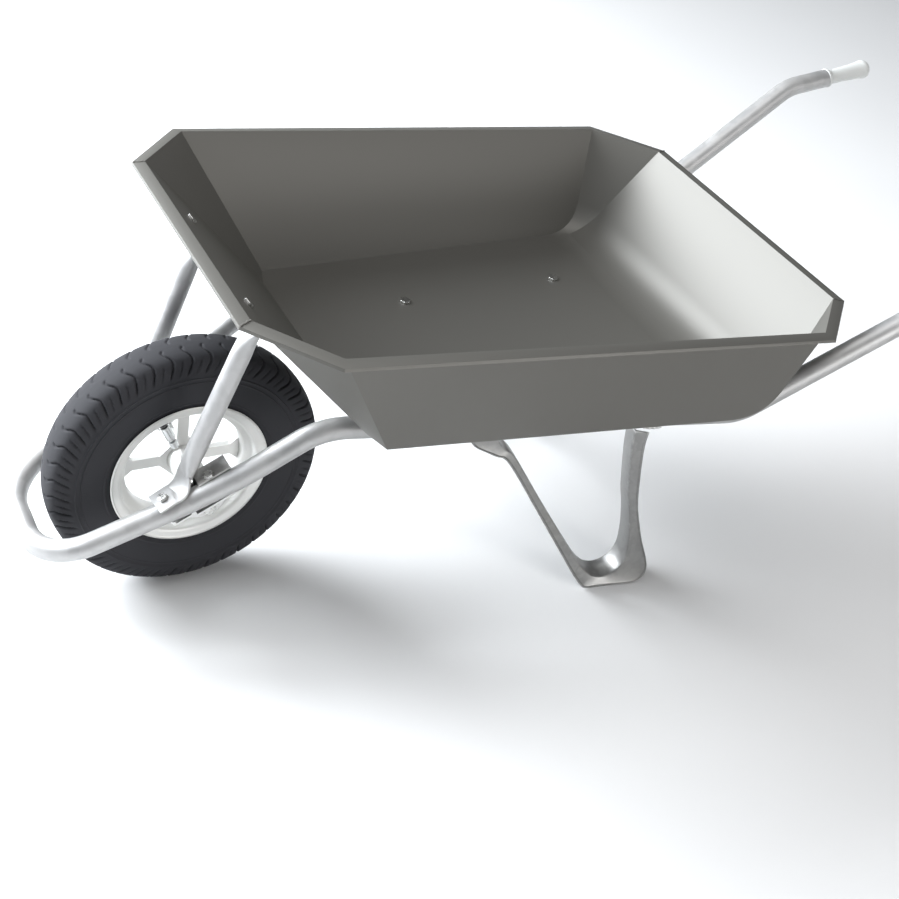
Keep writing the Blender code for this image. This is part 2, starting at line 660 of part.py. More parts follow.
def cross_rail(word, x, bolt_y, root, steel):
    """Hat-shaped rail under the floor, its ends cut along the tubes."""
    profile = [
        (-RAIL_HALF_WIDTH, 0.0), (RAIL_HALF_WIDTH, 0.0), (RAIL_HALF_WIDTH, -RAIL_DEPTH),
        (RAIL_HALF_WIDTH - 0.0025, -RAIL_DEPTH), (RAIL_HALF_WIDTH - 0.0025, -0.0025),
        (-RAIL_HALF_WIDTH + 0.0025, -0.0025), (-RAIL_HALF_WIDTH + 0.0025, -RAIL_DEPTH),
        (-RAIL_HALF_WIDTH, -RAIL_DEPTH),
    ]
    top = SHEET + GAP

    def end(side):
        points = []
        for along, down in profile:
            y = tube_y(x + along) - (TUBE_RADIUS + GAP) / math.cos(SPREAD_ANGLE)
            points.append(Vector((x + along, side * y, floor_z(x + along) - top + down)))
        return points

    obj = add_object(f"cross_rail_{word}", loft([end(LEFT), end(RIGHT)]), steel, root)
    drill(obj, [((x, side * bolt_y, floor_z(x)), FLOOR_NORMAL, HOLE_RADIUS, 0.012)
                for _, side in SIDES])


# ------------------------------------------------------------------ tray
def rear_curve(fold, corner, ahead):
    """From the rim's fold down the rear corner, then on a curve that ends in the floor."""
    upper = corner + (fold - corner).normalized() * REAR_CURVE_REACH
    lower = corner + ahead * REAR_CURVE_REACH
    points = [fold]
    for k in range(REAR_CURVE_STEPS + 1):
        share = k / REAR_CURVE_STEPS
        points.append(upper * (1 - share) ** 2 + corner * 2 * share * (1 - share) + lower * share ** 2)
    return points


def shares_along(column):
    """How far down the column each of its points lies, from 0 to 1."""
    lengths = [0.0]
    for upper, lower in zip(column, column[1:]):
        lengths.append(lengths[-1] + (lower - upper).length)
    return [length / lengths[-1] for length in lengths]


def tray_columns():
    """Inside corners, each from the rim's fold down to the floor, in order round the tray."""
    corners = [
        (RIM_FRONT_X, RIM_FRONT_HALF, FLOOR_FRONT_X - FLOOR_CORNER, FLOOR_FRONT_HALF - 3 * FLOOR_CORNER),
        (RIM_SIDE_FRONT_X, RIM_SIDE_FRONT_HALF, FLOOR_FRONT_X, FLOOR_FRONT_HALF),
        (RIM_SIDE_REAR_X, RIM_SIDE_REAR_HALF, FLOOR_REAR_X - FLOOR_CORNER / 2, FLOOR_REAR_HALF),
        (RIM_REAR_X, RIM_REAR_HALF, FLOOR_REAR_X, FLOOR_REAR_HALF - FLOOR_CORNER),
    ]
    columns = []
    for side, order in ((RIGHT, corners), (LEFT, corners[::-1])):
        ahead = Vector((FLOOR_FRONT_X - FLOOR_REAR_X, side * (FLOOR_FRONT_HALF - FLOOR_REAR_HALF),
                        floor_z(FLOOR_FRONT_X) - floor_z(FLOOR_REAR_X))).normalized()
        for rim_x, rim_half, floor_x, floor_half in order:
            fold = Vector((rim_x, side * rim_half, rim_z(rim_x)))
            corner = Vector((floor_x, side * floor_half, floor_z(floor_x)))
            columns.append([fold, corner] if floor_x <= FLOOR_FRONT_X else rear_curve(fold, corner, ahead))
    shares = shares_along(columns[2])
    return [[column[0].lerp(column[1], share) for share in shares] if len(column) == 2 else column
            for column in columns]


def flange_edge(folds):
    """The outer edge of the flange: the folds moved outward by an even width."""
    edge = []
    for i, corner in enumerate(folds):
        sides = (corner - folds[i - 1], folds[(i + 1) % len(folds)] - corner)
        normals = [Vector((-side.y, side.x, 0)).normalized() for side in sides]
        miter = (normals[0] + normals[1]).normalized()
        edge.append(corner + miter * FLANGE_WIDTH / miter.dot(normals[0]) - Vector((0, 0, FLANGE_DROP)))
    return edge


def tray(root, paint):
    bm = bmesh.new()
    columns = [ring(bm, column) for column in tray_columns()]
    folds = [column[0] for column in columns]
    join_rings(bm, ring(bm, flange_edge([fold.co for fold in folds])), folds)
    for first, second in zip(columns, columns[1:] + columns[:1]):
        for i in range(len(first) - 1):
            bm.faces.new((first[i], first[i + 1], second[i + 1], second[i]))
    bm.faces.new([column[-1] for column in columns])
    bmesh.ops.recalc_face_normals(bm, faces=bm.faces)
    floor_face = min(bm.faces, key=lambda face: face.calc_center_median().z)
    if floor_face.normal.z < 0:
        bmesh.ops.reverse_faces(bm, faces=bm.faces)
    folded = [edge for edge in bm.edges
              if not edge.is_boundary and edge.calc_face_angle() > SHARPEST_CURVE_STEP]
    bmesh.ops.bevel(bm, geom=folded, offset=FOLD_RADIUS, segments=2, profile=0.5,
                    affect="EDGES", clamp_overlap=True)
    mesh = bpy.data.meshes.new("tray")
    bm.to_mesh(mesh)
    bm.free()
    mesh.materials.append(paint)
    mesh.shade_smooth()
    mesh.set_sharp_from_angle(angle=math.radians(40))
    obj = bpy.data.objects.new("tray", mesh)
    obj.parent = root
    bpy.context.scene.collection.objects.link(obj)
    sheet = obj.modifiers.new("sheet", "SOLIDIFY")
    sheet.thickness = SHEET
    sheet.offset = -1.0
    sheet.use_even_offset = True
    holes = [(panel_point(0.0560, side * STAY_TOP_Y, 0), PANEL_OUT, HOLE_RADIUS, 0.02)
             for _, side in SIDES]
    for x, y in ((RAIL_FRONT_X, RAIL_FRONT_BOLT_Y), (RAIL_REAR_X, RAIL_REAR_BOLT_Y)):
        holes += [((x, side * y, floor_z(x)), FLOOR_NORMAL, HOLE_RADIUS, 0.012) for _, side in SIDES]
    drill(obj, holes)


def floor_bolts(root, zinc):
    for row, x, y in (("front", RAIL_FRONT_X, RAIL_FRONT_BOLT_Y), ("rear", RAIL_REAR_X, RAIL_REAR_BOLT_Y)):
        for word, side in SIDES:
            seat = Vector((x, side * y, floor_z(x)))
            bolt(f"floor_bolt_{row}_{word}", seat, FLOOR_NORMAL, 0.016, root, zinc,
                 flats=LOW_HEAD_FLATS, height=LOW_HEAD_HEIGHT)
            under = seat - FLOOR_NORMAL * (SHEET + GAP + 0.0025)
            nut(f"floor_nut_{row}_{word}", under, -FLOOR_NORMAL, root, zinc)


# ------------------------------------------------------------------ wheel
ACROSS = Matrix.Rotation(-math.pi / 2, 4, "X")          # local Z of a turned piece to +Y


def mirrored_outline(half):
    """(height, radius) points from one edge to the middle, continued to the other edge."""
    return half + [(-height, radius) for height, radius in reversed(half[:-1])]


def tyre(wheel, rubber):
    outer = [(0.0305, 0.1038), (0.0320, 0.1062), (0.0329, 0.1125), (0.0350, 0.1182), (0.0378, 0.1270),
             (0.0392, 0.1420), (0.0392, 0.1580), (0.0376, 0.1730), (0.0342, 0.1850),
             (0.0290, 0.1928), (0.0215, 0.1970), (0.0110, 0.1993), (0.0, TYRE_RADIUS)]
    inner = [(0.0240, 0.1038), (0.0262, 0.1090), (0.0292, 0.1160), (0.0320, 0.1270),
             (0.0335, 0.1420), (0.0335, 0.1570), (0.0315, 0.1700), (0.0262, 0.1800),
             (0.0200, 0.1860), (0.0110, 0.1895), (0.0, 0.1910)]
    outline = mirrored_outline(outer) + mirrored_outline(inner)[::-1]
    bm = transformed(revolve(outline, 56, closed=True), ACROSS)
    add_object("tyre", bm, rubber, wheel, smooth_angle=60)


def inner_tube(wheel, rubber):
    """Rubber ring shell, open where the valve enters it."""
    centre, half_radial, half_across, wall = 0.1515, 0.0362, 0.0305, 0.0020
    segments, sides = 40, 10
    bm = bmesh.new()

    def skin(shrink):
        grid = []
        for j in range(segments):
            turn = VALVE_ANGLE + 2 * math.pi * (j + 0.5) / segments
            column = []
            for i in range(sides):
                a = math.pi + 2 * math.pi * (i + 0.5) / sides
                radius = centre + (half_radial - shrink) * math.cos(a)
                y = (half_across - shrink) * math.sin(a)
                column.append(bm.verts.new((radius * math.cos(turn), y, radius * math.sin(turn))))
            grid.append(column)
        return grid

    skins = [skin(0.0), skin(wall)]
    for grid in skins:
        for j in range(segments):
            for i in range(sides):
                if j == segments - 1 and i == sides - 1:
                    continue
                k, n = (j + 1) % segments, (i + 1) % sides
                bm.faces.new((grid[j][i], grid[k][i], grid[k][n], grid[j][n]))
    mouths = [[grid[-1][-1], grid[0][-1], grid[0][0], grid[-1][0]] for grid in skins]
    join_rings(bm, *mouths)
    add_object("inner_tube", bm, rubber, wheel, smooth_angle=60)


def rim(wheel, steel):
    """Rolled rim: bead flanges, bead seats and a drop centre with the valve hole."""
    middle = mirrored_outline([
        (0.0375, 0.1150), (0.0358, 0.1125), (0.0345, 0.1040), (0.0320, 0.1012),
        (0.0230, 0.1000), (0.0165, 0.0965), (0.0118, 0.0890), (0.0, RIM_WELL_RADIUS)])
    outline = [(p.x, p.y) for p in offset_strip(middle, RIM_SHEET)]
    bm = transformed(revolve(outline, 48, closed=True), ACROSS)
    obj = add_object("rim", bm, steel, wheel, smooth_angle=50)
    spoke = Vector((math.cos(VALVE_ANGLE), 0, math.sin(VALVE_ANGLE)))
    drill(obj, [(spoke * RIM_WELL_RADIUS + Vector((0, VALVE_Y, 0)), spoke, VALVE_HOLE_RADIUS, 0.006)])


def spider(wheel, steel):
    """Pressed centre with four hollow-backed arms between the hub and the rim's well."""
    arms = 4
    reach = SPIDER_RADIUS
    hub = 0.034
    fillet = 0.010
    outline = []
    for k in range(arms):
        turn = 2 * math.pi * k / arms
        end_angle = math.asin((ARM_HALF_WIDTH + fillet) / reach)
        root_angle = math.asin(ARM_HALF_WIDTH / hub)
        local = [(hub * math.cos(-root_angle), -ARM_HALF_WIDTH), (reach - fillet - 0.004, -ARM_HALF_WIDTH)]
        for share in (-1.0, -0.5, 0.0, 0.5, 1.0):
            local.append((reach * math.cos(end_angle * share), reach * math.sin(end_angle * share)))
        local += [(reach - fillet - 0.004, ARM_HALF_WIDTH), (hub * math.cos(root_angle), ARM_HALF_WIDTH)]
        for x, z in local:
            outline.append(Vector((x * math.cos(turn) - z * math.sin(turn), SPIDER_Y,
                                   x * math.sin(turn) + z * math.cos(turn))))
    obj = add_object("wheel_spider", extrude_outline(outline, (0, SPIDER_DEPTH, 0)), steel, wheel)
    drill(obj, [((0, 0, 0), (0, 1, 0), HUB_RADIUS + GAP, 0.05)])
    pocket_half = ARM_HALF_WIDTH - SPIDER_PLATE
    start, stop = hub - 0.006, reach - 0.004
    bm = bmesh.new()
    for k in range(arms):
        turn = Matrix.Rotation(-2 * math.pi * k / arms, 4, "Y")
        corners = [(start, -pocket_half), (stop, -pocket_half), (stop, pocket_half), (start, pocket_half)]
        rings = [ring(bm, [turn @ Vector((x, y, z)) for x, z in corners])
                 for y in (SPIDER_Y + SPIDER_PLATE, SPIDER_Y + SPIDER_DEPTH + 0.01)]
        join_rings(bm, *rings)
        bm.faces.new(rings[0])
        bm.faces.new(list(reversed(rings[1])))
    cutter = add_object("wheel_spider_pockets", bm, steel, wheel)
    cutter.hide_render = True
    cutter.display_type = "WIRE"
    cut = obj.modifiers.new("pockets", "BOOLEAN")
    cut.operation = "DIFFERENCE"
    cut.solver = "EXACT"
    cut.object = cutter


def hub_parts(wheel, steel, bronze):
    tube = [(-HUB_HALF_LENGTH, HUB_BORE), (-HUB_HALF_LENGTH, HUB_RADIUS),
            (HUB_HALF_LENGTH, HUB_RADIUS), (HUB_HALF_LENGTH, HUB_BORE)]
    add_object("hub_sleeve", transformed(revolve(tube, 24, closed=True), ACROSS), steel, wheel)
    for word, side in SIDES:
        far = side * HUB_HALF_LENGTH
        near = side * (HUB_HALF_LENGTH - BEARING_WIDTH)
        outline = [(near, AXLE_RADIUS + 0.0004), (near, HUB_BORE - GAP),
                   (far, HUB_BORE - GAP), (far, AXLE_RADIUS + 0.0004)]
        bm = transformed(revolve(outline, 20, closed=True), ACROSS)
        add_object(f"bearing_{word}", bm, bronze, wheel)


def valve(wheel, rubber, chrome):
    """Grommet in the rim, metal stem towards the hub and a cap on its end."""
    spoke = Vector((math.cos(VALVE_ANGLE), 0, math.sin(VALVE_ANGLE)))
    well = RIM_WELL_RADIUS - RIM_SHEET / 2
    inward = axis_matrix(spoke * well + Vector((0, VALVE_Y, 0)), -spoke)
    bore = 0.0046
    seat = 0.0010                   # clears the curve of the well under the grommet's flange
    grommet = [(-0.004, bore), (-0.004, VALVE_HOLE_RADIUS - GAP), (seat, VALVE_HOLE_RADIUS - GAP),
               (seat, 0.0100), (0.003, 0.0100), (0.009, 0.0065), (0.010, bore)]
    add_object("valve_grommet", transformed(revolve(grommet, 16, closed=True), inward), rubber, wheel)
    stem = [(-0.026, 0.0), (-0.026, 0.0040), (0.0110, 0.0043), (0.0115, 0.0075), (0.0385, 0.0075),
            (0.0405, 0.0050), (0.0500, 0.0050), (0.0510, 0.0)]
    add_object("valve_stem", transformed(revolve(stem, 14), inward), chrome, wheel)
    cap = [(0.0550, 0.0), (0.0545, 0.0050), (0.0530, 0.0068), (0.0412, 0.0070),
           (0.0412, 0.0054), (0.0514, 0.0054), (0.0514, 0.0)]
    add_object("valve_cap", transformed(revolve(cap, 14), inward), chrome, wheel)


# ------------------------------------------------------------------ assembly
def build():
    clear_scene()
    front = NOSE_X - TUBE_RADIUS
    along = Vector((HANDLE_END_X - HANDLE_BEND_X, 0, HANDLE_END_Z - HANDLE_BEND_Z)).normalized()
    rear = HANDLE_END_X + along.x * GRIP_LENGTH
    root = empty("wheelbarrow_origin", location=(-(front + rear) / 2, 0, 0))
    wheel = empty("wheel_pivot", root, (0, 0, AXLE_HEIGHT))

    galvanised = material("galvanised_tube", (0.70, 0.71, 0.71), 0.35, 0.9)
    pressed = material("pressed_steel", (0.66, 0.66, 0.64), 0.40, 0.9)
    tray_paint = material("tray_paint", (0.13, 0.125, 0.115), 0.42, 0.55)
    zinc = material("zinc_plate", (0.62, 0.62, 0.60), 0.30, 1.0)
    plastic = material("grip_plastic", (0.60, 0.61, 0.60), 0.50, 0.0)
    rim_paint = material("rim_paint", (0.74, 0.74, 0.72), 0.38, 0.6)
    rubber = material("tyre_rubber", (0.020, 0.020, 0.022), 0.62, 0.0)
    chrome = material("valve_chrome", (0.75, 0.76, 0.77), 0.15, 1.0)
    bronze = material("bearing_bronze", (0.45, 0.33, 0.20), 0.40, 1.0)

    frame_tube(root, galvanised)
    grips(root, plastic)
    tray(root, tray_paint)
    floor_bolts(root, zinc)
    stay_strap(root, pressed)
    for word, side in SIDES:
        stay(word, side, root, galvanised, zinc)
        axle_bracket(word, side, root, pressed, zinc)
        leg(word, side, root, pressed)
    cross_rail("front", RAIL_FRONT_X, RAIL_FRONT_BOLT_Y, root, pressed)
    cross_rail("rear", RAIL_REAR_X, RAIL_REAR_BOLT_Y, root, pressed)
    axle_parts(root, zinc)

    tyre(wheel, rubber)
    inner_tube(wheel, rubber)
    rim(wheel, rim_paint)
    spider(wheel, rim_paint)
    hub_parts(wheel, rim_paint, bronze)
    valve(wheel, rubber, chrome)


build()
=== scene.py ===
"""Builder's wheelbarrow: the pieces as they look, built round the fixed frame model.

Sizes are in metres. Shapes are worked out from the axle: x runs from the axle to the handles,
y across and z up from the ground. finish_mesh() moves them into the frame model's place.
"""
import math

import bmesh
import bpy
from bpy.props import FloatProperty, FloatVectorProperty, IntProperty, PointerProperty
from mathutils import Matrix, Vector


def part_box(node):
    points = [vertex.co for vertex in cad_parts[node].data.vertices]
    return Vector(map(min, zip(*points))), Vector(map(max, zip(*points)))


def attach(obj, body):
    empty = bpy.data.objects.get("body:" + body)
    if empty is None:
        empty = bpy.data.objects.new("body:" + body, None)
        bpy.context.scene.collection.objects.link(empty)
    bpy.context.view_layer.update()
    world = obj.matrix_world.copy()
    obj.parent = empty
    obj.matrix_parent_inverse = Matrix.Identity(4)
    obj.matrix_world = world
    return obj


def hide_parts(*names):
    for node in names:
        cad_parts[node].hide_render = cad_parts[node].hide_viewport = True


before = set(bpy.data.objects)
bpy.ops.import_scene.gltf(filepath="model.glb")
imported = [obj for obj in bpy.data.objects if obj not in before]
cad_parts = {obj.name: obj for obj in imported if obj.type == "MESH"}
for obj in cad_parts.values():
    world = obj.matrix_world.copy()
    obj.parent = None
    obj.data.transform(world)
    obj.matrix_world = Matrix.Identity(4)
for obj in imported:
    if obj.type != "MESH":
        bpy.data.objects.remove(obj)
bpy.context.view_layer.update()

bl_info = {
    "name": "Builder's wheelbarrow",
    "version": (1, 0, 0),
    "blender": (4, 5, 0),
    "location": "3D View > Sidebar > Barrow",
    "description": "Builds a steel wheelbarrow with a pneumatic wheel on its frame model",
    "category": "Object",
}


# ------------------------------------------------------------------ places taken from the frame
def middle(node):
    low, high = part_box(node)
    return (Vector(low) + Vector(high)) / 2


AXLE = middle("axle")
FRAME_SHIFT = Vector((AXLE.x, 0, 0))
LEFT, RIGHT = -1, 1
SIDES = (("left", LEFT), ("right", RIGHT))
GAP = 0.0003

# half the distance between the two sides of the tube, and how fast it grows towards the handles
SPREAD_AT_AXLE, SPREAD_SLOPE = 0.132, 0.141
SPREAD_ANGLE = math.atan(SPREAD_SLOPE)
# x and z of the tube's bends, from the nose to the handles
NOSE = (-0.2284, 0.1410)
SEAT_FRONT = (-0.038, 0.2260)
SEAT_REAR = (0.040, 0.2667)
HANDLE_BEND = (1.2078, 0.5510)
HANDLE_END = (1.2880, 0.5632)
UNDER_FLOOR_FRONT_X, REAR_BEND_X = 0.1404, 0.7834
TUBE_RADIUS, TRAY_SHEET, STRAP_THICKNESS = 0.016, 0.0015, 0.003
# heights of the tray's floor and rim over the axle, and their slopes
FLOOR_AT_AXLE, FLOOR_SLOPE = 0.3587, -0.0525
RIM_AT_AXLE, RIM_SLOPE = 0.5686, -0.0953
VALVE_ANGLE = math.radians(115.0)
VALVE_Y = -0.0060
WELL_RADIUS = 0.0880


def tube_y(x):
    """Distance of the tube's centre line from the middle plane."""
    return SPREAD_AT_AXLE + SPREAD_SLOPE * min(x, HANDLE_BEND[0])


def floor_z(x):
    """Height of the tray's floor."""
    return FLOOR_AT_AXLE + FLOOR_SLOPE * x


def rim_z(x):
    """Height of the tray's rim."""
    return RIM_AT_AXLE + RIM_SLOPE * x


def beside_tube(side, x, z, outward):
    """A point in the upright plane of one half of the tube, moved outward from it."""
    return Vector((x - outward * math.sin(SPREAD_ANGLE),
                   side * (tube_y(x) + outward * math.cos(SPREAD_ANGLE)), z))


# ------------------------------------------------------------------ sizes and colours to change
class BarrowTraySettings(bpy.types.PropertyGroup):
    """Sizes and colours of the folded tray"""
    sheet: FloatProperty(name="Sheet", description="Thickness of the steel sheet",
                         default=TRAY_SHEET, min=0.001, max=0.003, unit="LENGTH")
    flange: FloatProperty(name="Flange", description="Width of the edge folded outward",
                          default=0.0165, min=0.010, max=0.018, unit="LENGTH")
    lip: FloatProperty(name="Lip", description="Height of the flange's turned-down edge",
                       default=0.0045, min=0.002, max=0.008, unit="LENGTH")
    fold: FloatProperty(name="Fold", description="Bend radius along the rim",
                        default=0.0034, min=0.002, max=0.006, unit="LENGTH")
    colour: FloatVectorProperty(name="Paint", description="Colour of the tray's paint",
                                default=(0.0040, 0.0039, 0.0040), min=0, max=1, size=3, subtype="COLOR")


class BarrowFrameSettings(bpy.types.PropertyGroup):
    """Sizes and colours of the tube, stays, legs and grips"""
    tube_radius: FloatProperty(name="Tube radius", description="Outer radius of the bent frame tube",
                               default=TUBE_RADIUS, min=0.012, max=0.018, unit="LENGTH")
    tube_wall: FloatProperty(name="Tube wall", description="Wall thickness of the frame tube",
                             default=0.0015, min=0.001, max=0.003, unit="LENGTH")
    leg_sheet: FloatProperty(name="Leg sheet", description="Thickness of the pressed legs",
                             default=0.0025, min=0.0015, max=0.003, unit="LENGTH")
    stay_radius: FloatProperty(name="Stay radius", description="Outer radius of the front stays",
                               default=0.014, min=0.010, max=0.015, unit="LENGTH")
    tube_colour: FloatVectorProperty(name="Tube", description="Colour of the silver tube finish",
                                     default=(0.50, 0.50, 0.50), min=0, max=1, size=3, subtype="COLOR")
    sheet_colour: FloatVectorProperty(name="Pressed sheet", description="Colour of legs and brackets",
                                      default=(0.33, 0.33, 0.325), min=0, max=1, size=3, subtype="COLOR")
    grip_colour: FloatVectorProperty(name="Grips", description="Colour of the plastic grips",
                                     default=(0.20, 0.205, 0.20), min=0, max=1, size=3, subtype="COLOR")


class BarrowWheelSettings(bpy.types.PropertyGroup):
    """Sizes and colours of the wheel"""
    tread_blocks: IntProperty(name="Tread blocks", description="Blocks round the tyre on each side",
                              default=44, min=24, max=60)
    groove_depth: FloatProperty(name="Groove depth", description="Depth of the tread's grooves",
                                default=0.0026, min=0.0005, max=0.004, unit="LENGTH")
    groove_width: FloatProperty(name="Groove width", description="Width of the tread's grooves",
                                default=0.0030, min=0.0015, max=0.006, unit="LENGTH")
    rim_sheet: FloatProperty(name="Rim sheet", description="Thickness of the rolled rim",
                             default=0.0024, min=0.0015, max=0.003, unit="LENGTH")
    rubber_colour: FloatVectorProperty(name="Rubber", description="Colour of the tyre",
                                       default=(0.0065, 0.0065, 0.0072), min=0, max=1, size=3,
                                       subtype="COLOR")
    rim_colour: FloatVectorProperty(name="Rim", description="Colour of the rim's paint",
                                    default=(0.36, 0.355, 0.34), min=0, max=1, size=3, subtype="COLOR")


class BarrowStageSettings(bpy.types.PropertyGroup):
    """Floor and light"""
    floor_colour: FloatVectorProperty(name="Floor", description="Colour of the floor",
                                      default=(0.86, 0.86, 0.86), min=0, max=1, size=3, subtype="COLOR")
    key_power: FloatProperty(name="Key light", description="Power of the large light, in watts",
                             default=330.0, min=0, max=900)
    world_strength: FloatProperty(name="Surroundings", description="Brightness of the surroundings",
                                  default=0.18, min=0, max=2)


# ------------------------------------------------------------------ mesh helpers
def ring(bm, points):
    """A vertex at each point."""
    return [bm.verts.new(point) for point in points]


def join_rings(bm, first, second):
    """A band of faces between two closed rings of as many vertices."""
    count = len(first)
    for i in range(count):
        j = (i + 1) % count
        bm.faces.new((first[i], first[j], second[j], second[i]))


def loft(sections):
    """A closed solid through closed sections, capped at both ends."""
    bm = bmesh.new()
    rings = [ring(bm, points) for points in sections]
    for first, second in zip(rings, rings[1:]):
        join_rings(bm, first, second)
    bm.faces.new(rings[0])
    bm.faces.new(list(reversed(rings[-1])))
    return bm


def revolve(outline, segments, closed=False):
    """Turns (height, radius) points about local Z. An open outline starts and ends on the axis."""
    bm = bmesh.new()
    columns = []
    for height, radius in outline:
        if radius < 1e-6:
            columns.append([bm.verts.new((0, 0, height))])
            continue
        columns.append(ring(bm, [(radius * math.cos(2 * math.pi * k / segments),
                                  radius * math.sin(2 * math.pi * k / segments), height)
                                 for k in range(segments)]))
    pairs = list(zip(columns, columns[1:]))
    if closed:
        pairs.append((columns[-1], columns[0]))
    for first, second in pairs:
        if len(first) == len(second):
            join_rings(bm, first, second)
            continue
        pole, rim = (first[0], second) if len(first) == 1 else (second[0], first)
        for k in range(segments):
            bm.faces.new((pole, rim[k], rim[(k + 1) % segments]))
    return bm


def circle(radius, sides):
    """Points of a circle in a section's plane."""
    return [(radius * math.cos(2 * math.pi * k / sides), radius * math.sin(2 * math.pi * k / sides))
            for k in range(sides)]


def axis_matrix(origin, direction):
    """Local Z along the direction, at the origin."""
    turn = Vector((0, 0, 1)).rotation_difference(Vector(direction).normalized())
    return Matrix.Translation(Vector(origin)) @ turn.to_matrix().to_4x4()


def bent_path(corners, steps=12):
    """Points along a polyline whose corners are arcs: corners are (point, radius) pairs."""
    path = [Vector(corners[0][0])]
    for (before, _), (corner, radius), (after, _) in zip(corners, corners[1:], corners[2:]):
        before, corner, after = Vector(before), Vector(corner), Vector(after)
        entry = (before - corner).normalized()
        leave = (after - corner).normalized()
        turn = math.pi - entry.angle(leave)
        reach = radius * math.tan(turn / 2)
        centre = corner + (entry + leave).normalized() * radius / math.cos(turn / 2)
        start = corner + entry * reach - centre
        stop = corner + leave * reach - centre
        count = max(3, math.ceil(steps * turn / math.radians(40)))
        for k in range(count + 1):
            share = k / count
            blend = math.sin((1 - share) * turn) * start + math.sin(share * turn) * stop
            path.append(centre + blend / math.sin(turn))
    path.append(Vector(corners[-1][0]))
    return path


def sweep_sections(path, section, ups):
    """Places a 2D section, or one given for each index, along a path. ups is carried, or a list."""
    sections = []
    normal = Vector(ups[0]) if isinstance(ups, list) else Vector(ups)
    for i, point in enumerate(path):
        if isinstance(ups, list):
            normal = Vector(ups[i])
        ahead = (path[min(i + 1, len(path) - 1)] - path[max(i - 1, 0)]).normalized()
        normal = (normal - ahead * normal.dot(ahead)).normalized()
        side = ahead.cross(normal)
        shape = section(i) if callable(section) else section
        sections.append([point + side * a + normal * b for a, b in shape])
    return sections


def smooth_between(rows, share):
    """A row of numbers between given rows, on a smooth curve through them. share runs 0 to 1."""
    spot = share * (len(rows) - 1)
    i = min(int(spot), len(rows) - 2)
    t = spot - i
    before, first, second, after = (rows[max(i - 1, 0)], rows[i], rows[i + 1],
                                    rows[min(i + 2, len(rows) - 1)])
    return [0.5 * (2 * b + (c - a) * t + (2 * a - 5 * b + 4 * c - d) * t * t
                   + (3 * b - a - 3 * c + d) * t ** 3)
            for a, b, c, d in zip(before, first, second, after)]


def finish_mesh(name, bm, finish, body, smooth_angle=35.0):
    """Makes the piece in the frame model's place, with its material, and lets it ride on its body."""
    bmesh.ops.recalc_face_normals(bm, faces=bm.faces)
    bmesh.ops.translate(bm, vec=FRAME_SHIFT, verts=bm.verts)
    mesh = bpy.data.meshes.new(name)
    bm.to_mesh(mesh)
    bm.free()
    mesh.materials.append(finish)
    mesh.shade_smooth()
    mesh.set_sharp_from_angle(angle=math.radians(smooth_angle))
    piece = bpy.data.objects.new(name, mesh)
    bpy.context.scene.collection.objects.link(piece)
    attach(piece, body)
    return piece


def soften(piece, width=0.0005, segments=2, angle=30.0):
    """Rounds the sharp edges of a machined or pressed piece."""
    weld = piece.modifiers.new("join corners", "WELD")
    weld.merge_threshold = 0.00002
    bevel = piece.modifiers.new("broken edges", "BEVEL")
    bevel.width = width
    bevel.segments = segments
    bevel.limit_method = "ANGLE"
    bevel.angle_limit = math.radians(angle)
    bevel.harden_normals = False
    bevel.use_clamp_overlap = True


def dress(node, finish, width=0.0005, segments=2):
    """Keeps a frame model node and gives it its finish and softened edges."""
    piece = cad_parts[node]
    piece.data.materials.clear()
    piece.data.materials.append(finish)
    if width:
        soften(piece, width, segments)
    return piece


# ------------------------------------------------------------------ shader groups
def new_group(name, inputs, outputs):
    """An empty shader group with its sockets: (name, kind, default) in and (name, kind) out."""
    group = bpy.data.node_groups.new(name, "ShaderNodeTree")
    for label, kind, default in inputs:
        made = group.interface.new_socket(label, in_out="INPUT", socket_type=kind)
        made.default_value = default
    for label, kind in outputs:
        group.interface.new_socket(label, in_out="OUTPUT", socket_type=kind)
    return group, group.nodes.new("NodeGroupInput"), group.nodes.new("NodeGroupOutput")


def node(tree, kind, **settings):
    """A new node with its settings."""
    made = tree.nodes.new(kind)
    for key, value in settings.items():
        setattr(made, key, value)
    return made


def math_node(tree, operation, first, second, clamp=False):
    """Sum, difference or product of two values, which are numbers or sockets."""
    made = node(tree, "ShaderNodeMath", operation=operation, use_clamp=clamp)
    for i, value in enumerate((first, second)):
        if isinstance(value, (int, float)):
            made.inputs[i].default_value = value
        else:
            tree.links.new(value, made.inputs[i])
    return made.outputs[0]


def spread(tree, value, low, high, out_low=0.0, out_high=1.0):
    """The value between low and high, eased onto another range."""
    made = node(tree, "ShaderNodeMapRange", interpolation_type="SMOOTHSTEP")
    tree.links.new(value, made.inputs["Value"])
    made.inputs["From Min"].default_value = low
    made.inputs["From Max"].default_value = high
    made.inputs["To Min"].default_value = out_low
    made.inputs["To Max"].default_value = out_high
    return made.outputs["Result"]


def noise(tree, coordinate, scale, detail=3.0, roughness=0.55):
    """Cloudy noise whose scale is a number or a socket."""
    made = node(tree, "ShaderNodeTexNoise")
    tree.links.new(coordinate, made.inputs["Vector"])
    if isinstance(scale, (int, float)):
        made.inputs["Scale"].default_value = scale
    else:
        tree.links.new(scale, made.inputs["Scale"])
    made.inputs["Detail"].default_value = detail
    made.inputs["Roughness"].default_value = roughness
    return made.outputs["Fac"]


def mix_colour(tree, share, first, second):
    """The first colour where the share is 0 and the second where it is 1."""
    made = node(tree, "ShaderNodeMix", data_type="RGBA")
    for socket, value in ((made.inputs[0], share), (made.inputs[6], first), (made.inputs[7], second)):
        if isinstance(value, tuple):
            socket.default_value = (*value[:3], 1.0)
        else:
            tree.links.new(value, socket)
    return made.outputs[2]


